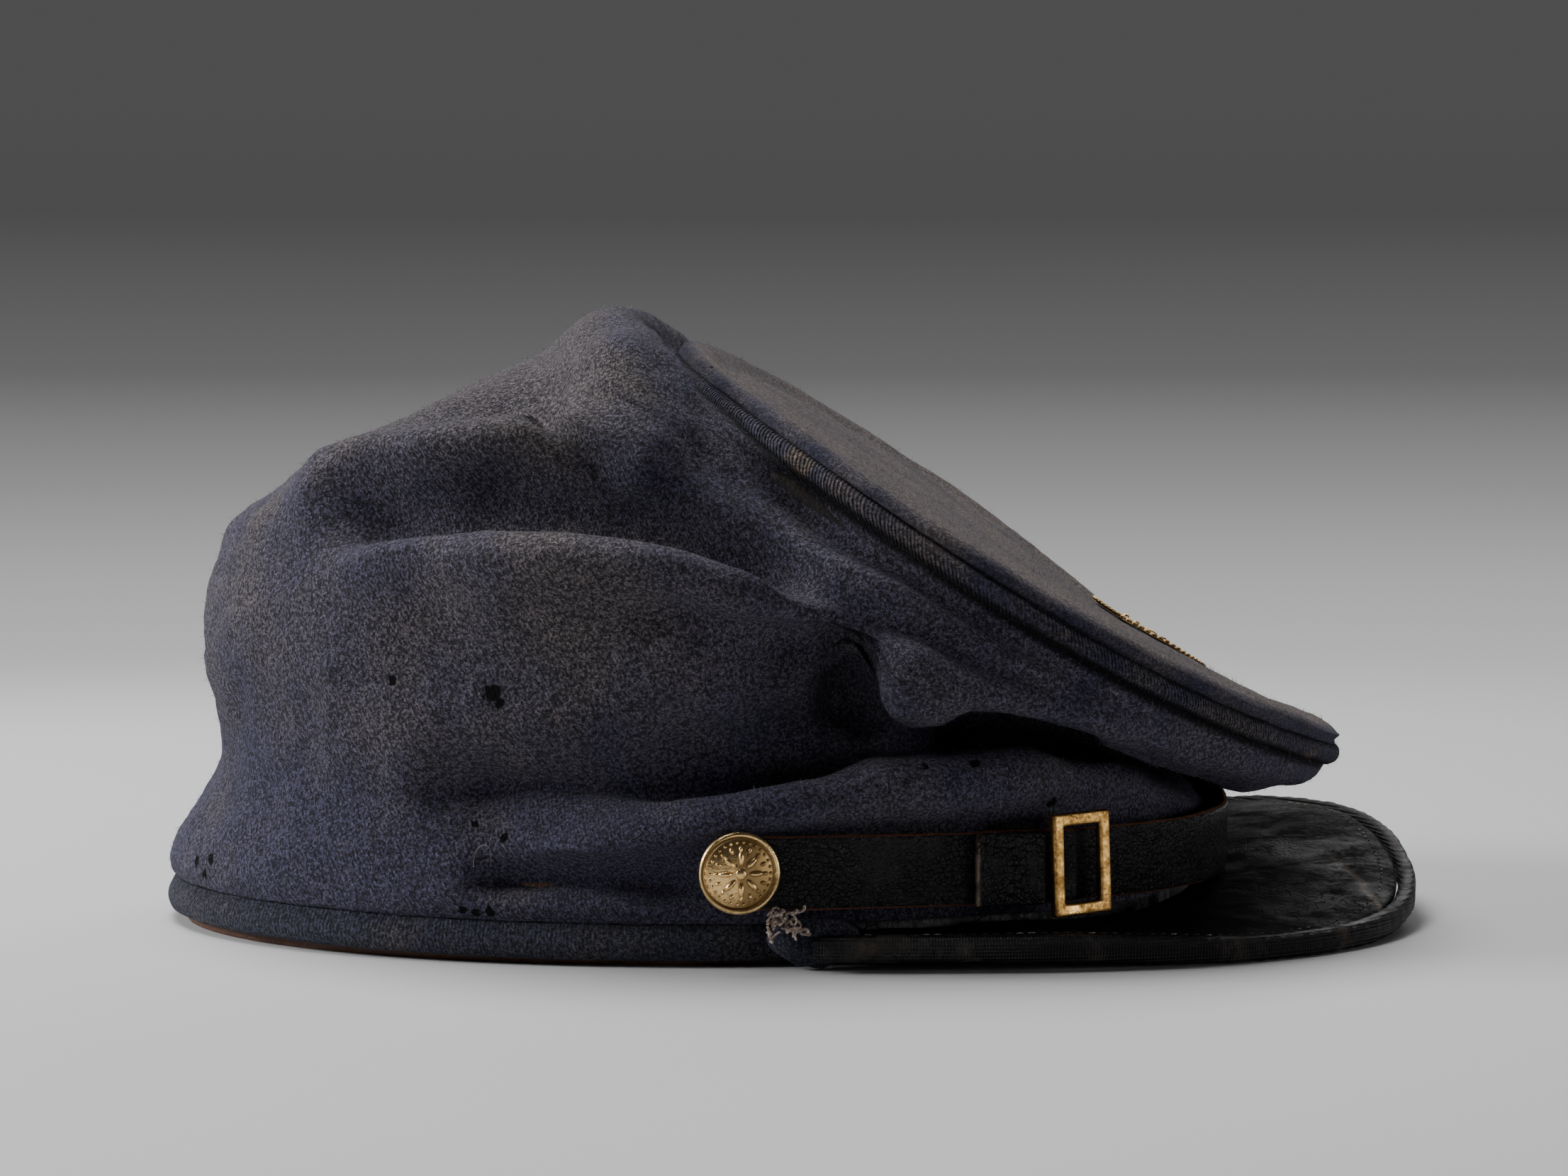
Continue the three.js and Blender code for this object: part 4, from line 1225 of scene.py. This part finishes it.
def ball(name, place, size, segments=10, rings=6):
    """An egg of three radii in mm, modelled from a sphere."""
    sphere = {"segments": segments, "ring_count": rings, "radius": MM}
    egg = added_by(bpy.ops.mesh.primitive_uv_sphere_add, name, **sphere)
    egg.scale = size
    egg.location = [c * MM for c in place]
    settle(egg)
    bpy.ops.object.shade_smooth()
    return egg


def ring_of(piece, count):
    """Copies of a piece turned about Z, each with its own mesh."""
    copies = [piece]
    for k in range(1, count):
        twin = add_object(piece.name, piece.data.copy())
        twin.rotation_euler = (0, 0, 2 * math.pi * k / count)
        settle(twin)
        copies.append(twin)
    return copies


print("tools for brass ready")

# %% Side buttons
DOME_HIGH, DOME_RADIUS, GROOVE_RADIUS = 3.2, 5.9, 6.2
BUTTON_PROFILE = [
    (0, 0), (4.2, 0), (6.4, 0.15), (7.15, 0.6), (7.4, 1.3), (7.3, 1.9), (6.95, 2.25), (6.55, 2.2),
    (6.3, 1.85), (6.1, 1.75), (5.8, 1.95), (4.6, 2.55), (3.2, 2.95), (1.6, 3.15), (0, DOME_HIGH),
]


def make_button(name, side, node, paint, slot):
    """The button stands on its back at the origin, looking up Z, and is then laid on the cap's side."""
    body = turned(name, BUTTON_PROFILE, 64)
    smooth_mesh(body, 1)
    parts = [body]
    parts += ring_of(ball("bead", (5.45, 0, 2.12), (0.34, 0.34, 0.30), 8, 5), 30)
    parts += ring_of(ball("petal", (2.7, 0, 2.82), (1.5, 0.62, 0.85)), 8)
    parts += ring_of(ball("leaf", (4.3, 0, 2.45), (0.7, 0.42, 0.6)), 16)
    parts.append(ball("eye", (0, 0, 3.1), (1.05, 1.05, 0.55), 14, 8))
    button = join_all(name, parts)
    low, high = (Vector(c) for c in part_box(node))
    middle = (low + high) / 2
    back = low.y if side > 0 else high.y
    button.rotation_euler = (math.radians(-90 * side), 0, math.radians(12))
    button.location = (middle.x, back, middle.z)
    settle(button)

    def hollow(p, normal):
        """1 in the groove and between the petals, where dirt stays."""
        out = math.hypot(p.x - middle.x / MM, p.z - middle.z / MM)
        dome = DOME_HIGH - 1.3 * (out / 6.1) ** 2
        flat = ease(0.22, -0.05, abs(p.y - back / MM) - dome) if out < DOME_RADIUS else 0
        return max(0.75 * flat, ease(0.5, 0.1, abs(out - GROOVE_RADIUS)))

    write_mask(button, "recess", hollow)
    finish(button, paint, slot, node)


BUTTONS = [
    ("right", -1, (0.95, 0.66, 0.30, 1), (0.16, 0.09, 0.03, 1), 0.2),
    ("left", 1, (0.76, 0.53, 0.24, 1), (0.28, 0.17, 0.06, 1), 0.5),
]
for hand, side, bright, dull, dullness in BUTTONS:
    button_paint = brass_paint("button_brass_" + hand, bright, dull, dullness, recessed=True)
    make_button(f"side_button_{hand}", side, f"button_{hand}", button_paint, f"button_{hand}_brass")

# %% [markdown]
# The slide buckle is a frame stamped from thick brass sheet. It is modelled flat: a slab whose front and
# back faces are inset and bridged to open the window, then bevelled all round, filed a little uneven, and
# laid on the strap by the three directions of the CAD solid that it stands for.

# %% Slide buckle
def directions_of(node):
    """The middle of a CAD solid, and its directions from the longest to the shortest, by its spread."""
    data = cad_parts[node].data
    points = np.array([tuple(v.co) for v in data.vertices])
    middle = (points.min(axis=0) + points.max(axis=0)) / 2
    _, vectors = np.linalg.eigh(np.cov((points - points.mean(axis=0)).T))
    return Vector(middle), [Vector(vectors[:, k]) for k in (2, 1, 0)]


def lay(piece, middle, across, up, out):
    """Turns a piece's X, Y and Z to three directions and puts it at a place."""
    turn = Matrix((across, up, out)).transposed()
    piece.matrix_world = Matrix.Translation(middle) @ turn.to_4x4()
    settle(piece)


BUCKLE_WIDE, BUCKLE_HIGH, BUCKLE_THICK, BUCKLE_BAR = 12.6, 18.6, 1.9, 2.3
buckle = added_by(bpy.ops.mesh.primitive_cube_add, "slide_buckle", size=MM)
buckle.scale = (BUCKLE_WIDE, BUCKLE_HIGH, BUCKLE_THICK)
settle(buckle)
open_mesh(buckle)
bpy.ops.mesh.select_mode(type="FACE")
mesh = bmesh.from_edit_mesh(buckle.data)
for face in mesh.faces:
    face.select = abs(face.normal.z) > 0.9
bmesh.update_edit_mesh(buckle.data)
bpy.ops.mesh.inset(thickness=BUCKLE_BAR * MM, use_individual=True)
bpy.ops.mesh.bridge_edge_loops()
close_mesh()
apply_modifier(buckle, "BEVEL", width=0.5 * MM, segments=3, limit_method="ANGLE")
smooth_mesh(buckle, 2, "SIMPLE")
move_along_normals(buckle, lambda p, n, i: 0.09 * rough(p + Vector((7, 2, 1)), 4.5, 3))
only(buckle)
bpy.ops.object.shade_smooth()

middle, (long_way, _, short_way) = directions_of("buckle")
out = short_way if short_way.y < 0 else -short_way
up = long_way if long_way.z > 0 else -long_way
lay(buckle, middle, up.cross(out), up, out)
buckle_paint = brass_paint("buckle_brass", (0.88, 0.54, 0.18, 1), (0.24, 0.12, 0.03, 1), 0.4)
finish(buckle, buckle_paint, "buckle_brass", "buckle")

# %% [markdown]
# The badge is a thin stamped oval. A roped border and a plain domed field with a small boss keep it
# free of any unit or maker. It is modelled flat as well, and then each vertex is dropped onto the tip's
# cloth along the tip's own slope, so that the badge bends with the cloth under it.

# %% Badge
BADGE_LONG, BADGE_WIDE, BADGE_LIFT = 36.0, 11.0, 0.35
ROPE_TURNS, ROPE_INSET, ROPE_HEIGHT, ROPE_SLANT = 54, 0.75, 0.45, 0.6
plate = ball("plate", (0, 0, 0), (BADGE_LONG / 2 - 0.4, BADGE_WIDE / 2 - 0.4, 0.75), 64, 16)
for vertex in plate.data.vertices:
    vertex.co.z = max(vertex.co.z, 0)
parts = [plate]
for k in range(ROPE_TURNS):
    turn = 2 * math.pi * k / ROPE_TURNS
    strand = ball("strand", (0, 0, 0), (1.15, 0.5, 0.32), 8, 5)
    along = math.atan2(BADGE_WIDE * math.cos(turn), -BADGE_LONG * math.sin(turn))
    strand.rotation_euler = (0, 0, along + ROPE_SLANT)
    edge_x = (BADGE_LONG / 2 - ROPE_INSET) * math.cos(turn)
    edge_y = (BADGE_WIDE / 2 - ROPE_INSET) * math.sin(turn)
    strand.location = (edge_x * MM, edge_y * MM, ROPE_HEIGHT * MM)
    settle(strand)
    parts.append(strand)
parts.append(ball("boss", (0, 0, 0.6), (1.7, 1.7, 0.6), 16, 8))
parts += [ball("boss_bead", (x, 0, 0.65), (0.8, 0.8, 0.5), 12, 6) for x in (-4.5, 4.5, -8, 8)]
badge = join_all("tip_badge", parts)
tip_tree = surface_of(tip)
middle, (long_way, _, out) = directions_of("badge")
out = out if out.z > 0 else -out
long_way = long_way if long_way.x > 0 else -long_way
lay(badge, middle, long_way, out.cross(long_way), out)
for vertex in badge.data.vertices:
    height = (vertex.co - middle).dot(out)
    below = tip_tree.ray_cast(vertex.co + out * 0.02, -out)[0]
    vertex.co = below + out * (height + BADGE_LIFT * MM)
only(badge)
bpy.ops.object.shade_smooth()
badge_paint = brass_paint("badge_brass", (0.78, 0.52, 0.20, 1), (0.25, 0.15, 0.05, 1), 0.4)
finish(badge, badge_paint, "badge_brass", "badge")

# %% [markdown]
# ## Frayed ends and stitches
# Where the hem strip ends beside the peak, the real cap has a wad of folded wool under a tuft of frayed
# linen thread. The wad is a dented egg. Each thread is a path through a few random points, given a round
# section and turned into a mesh. The peak is sewn to its tape by a row of stitches. These are small eggs
# that lie along the peak's edge, dropped onto the varnish.


# %% Wads
def wad(name, side):
    """A dented egg of cloth, flat under the hem."""
    piece = ball(name, (4.2, side * 79.6, 5.0), (8.6, 3.4, 4.4), 28, 16)
    smooth_mesh(piece, 1)
    move_along_normals(piece, lambda p, n, i: 0.9 * rough(p + Vector((2, side, 0)), 5.5, 3))
    for vertex in piece.data.vertices:
        vertex.co.z = max(vertex.co.z, 0.25 * MM)
    write_mask(piece, "fade_and_light", lambda p, n: 0.1)
    write_map(piece, round_the_wall)
    finish(piece, hem_paint, "felt_welt")


wad("hem_wad_right", -1)
wad("hem_wad_left", 1)


# %% Threads
def thread(points, radius):
    """A closed round thread through points in mm."""
    path = added_by(bpy.ops.curve.primitive_nurbs_path_add, "thread")
    line = path.data.splines[0]
    line.points.add(max(0, len(points) - len(line.points)))
    for k, point in enumerate(line.points):
        place = points[min(k, len(points) - 1)]
        point.co = (*[c * MM for c in place], 1)
    path.data.bevel_depth = radius * MM
    path.data.bevel_resolution = 0
    path.data.resolution_u = 3
    path.data.use_fill_caps = True
    bpy.ops.object.convert(target="MESH")
    settle(bpy.context.object)
    return bpy.context.object


def plain_paint(name, colour, darker, scale, roughness=0.8, sheen=0.3):
    """A finish for threads and fibres, mottled between two colours."""
    paint, tree, shader, bump = new_paint(name, 0.0002, Sheen_Weight=sheen, Specular_IOR_Level=0.2)
    mix = span(tree, grain(tree, object_place(tree), scale, 3), 0.35, 0.65)
    tint = blend_colours(tree, mix, darker, colour)
    dull = span(tree, mix, 0, 1, roughness + 0.1, roughness - 0.1)
    wire_paint(tree, shader, bump, tint, dull, mix)
    return paint


TUFT_THREADS, TUFT_Y = 34, -84.0
random.seed(31)
strands = []
for _ in range(TUFT_THREADS):
    x, y = random.uniform(-4, 2.5), TUFT_Y + random.uniform(-0.8, 0.8)
    points = [Vector((x, y, random.uniform(7, 10.5)))]
    for _ in range(4):
        step = Vector((random.uniform(-1.4, 1.6), random.uniform(-0.9, 0.8), random.uniform(-1.2, 1.2)))
        points.append(points[-1] + step)
    strands.append(thread(points, random.uniform(0.18, 0.36)))
tuft_piece = join_all("frayed_tuft", strands)
linen = plain_paint("frayed_linen", (0.62, 0.49, 0.41, 1), (0.26, 0.18, 0.14, 1), 1500)
finish(tuft_piece, linen, None)

# %% Stitches
STITCH_TURN, STITCH_INSET = 1.5, 6.6  # degrees from one to the next, and mm from the tape's outer edge
edge_reach = {}
for vertex in binding.data.vertices:
    x, y, z = vertex.co / MM
    step = round(math.degrees(math.atan2(y, x - PEAK_MIDDLE_X)) / STITCH_TURN)
    edge_reach[step] = max(edge_reach.get(step, 0), math.hypot(y, x - PEAK_MIDDLE_X))
stitches, pale = [], []
for step in range(-66, 67):
    reach = edge_reach.get(step, 0) - STITCH_INSET
    turn = math.radians(step * STITCH_TURN)
    x, y = PEAK_MIDDLE_X + reach * math.cos(turn), reach * math.sin(turn)
    hit = peak_tree.ray_cast(Vector((x * MM, y * MM, 0.06)), Vector((0, 0, -1)))[0]
    if hit is None or reach < 40:
        continue
    stitch = ball("stitch", (0, 0, 0), (0.75, 0.16, 0.12), 8, 5)
    stitch.rotation_euler = (0, 0, turn + math.pi / 2)
    stitch.location = hit + Vector((0, 0, 0.05 * MM))
    settle(stitch)
    (pale if random.random() < 0.3 else stitches).append(stitch)
black_thread = plain_paint("waxed_thread", (0.02, 0.02, 0.021, 1), (0.006, 0.006, 0.006, 1), 2500, 0.6)
finish(join_all("peak_stitches_black", stitches), black_thread, None)
finish(join_all("peak_stitches_worn", pale), linen, None)

# %% [markdown]
# ## Nap and lint
# Fulled wool is never clean-edged: loose fibre ends stand off it and soften the outline. Over thirteen
# thousand needles, each a closed spike of four faces, are scattered over the crown, the tip and the
# cord and lean along the cloth. A few long hairs of lint have caught on the folds.


# %% Nap
def scatter_nap(name, skin, count, keep, paint, seed):
    """Needles on a skin, placed at random by area, on the faces that keep says yes to."""
    rng = np.random.default_rng(seed)
    faces = [p for p in skin.data.polygons if keep(p)]
    areas = np.array([p.area for p in faces])
    picks = rng.choice(len(faces), size=count, p=areas / areas.sum())
    points, triangles = [], []
    for pick in picks:
        face = faces[pick]
        corners = [skin.data.vertices[v].co for v in face.vertices]
        share = rng.dirichlet(np.ones(len(corners)))
        root = sum((c * float(w) for c, w in zip(corners, share)), Vector())
        drift = Vector(rng.normal(size=3))
        lean = (face.normal * 0.75 + (drift - drift.dot(face.normal) * face.normal) * 0.55).normalized()
        side = lean.orthogonal().normalized()
        other = lean.cross(side)
        length, thick = rng.uniform(0.7, 2.0) * MM, rng.uniform(0.03, 0.055) * MM
        base = root - lean * 0.3 * MM
        first = len(points)
        for k in range(3):
            a = 2 * math.pi * k / 3
            points.append(base + side * thick * math.cos(a) + other * thick * math.sin(a))
        points.append(base + lean * length + Vector(rng.normal(size=3)) * 0.15 * MM)
        a, b, c, d = range(first, first + 4)
        triangles += [(a, c, b), (a, b, d), (b, c, d), (c, a, d)]
    mesh = bpy.data.meshes.new(name)
    mesh.from_pydata(points, [], triangles)
    finish(add_object(name, mesh), paint, None)


nap_paint = plain_paint("nap_fibre", (0.14, 0.13, 0.16, 1), (0.05, 0.045, 0.06, 1), 400, 0.85, 0.4)
outside = crown.data.attributes["inside"].data
scatter_nap("nap_on_crown", crown, 9000, lambda f: outside[f.vertices[0]].value < 0.5, nap_paint, 5)
scatter_nap("nap_on_tip", tip, 3500, lambda f: f.normal.z > -0.3, nap_paint, 6)
scatter_nap("nap_on_cord", cord, 900, lambda f: True, nap_paint, 7)

# %% Lint
random.seed(77)
# x and z of the middle, reach, points
LINT = [
    (31.5, 36.5, 5.5, 9), (58.5, 50.5, 4.5, 9), (51.5, 34.5, 4.0, 8), (-54.5, 19, 5.0, 7),
    (34, 39, 3.5, 7),
]
hairs = []
for x, z, reach, count in LINT:
    turn, points = random.uniform(0, 6), []
    for k in range(count):
        turn += random.uniform(0.3, 1.3)
        px, pz = x + reach * 0.5 * math.cos(turn) * (0.5 + 0.1 * k), z + reach * 0.5 * math.sin(turn)
        skin = from_right(crown_tree, px, pz)
        if skin is None:
            continue
        points.append(skin / MM - Vector((0, random.uniform(0.25, 1.1), 0)))
    if len(points) > 3:
        hairs.append(thread(points, 0.06))
lint_paint = plain_paint("lint_hair", (0.38, 0.36, 0.34, 1), (0.2, 0.19, 0.18, 1), 900)
finish(join_all("lint_hairs", hairs), lint_paint, None)
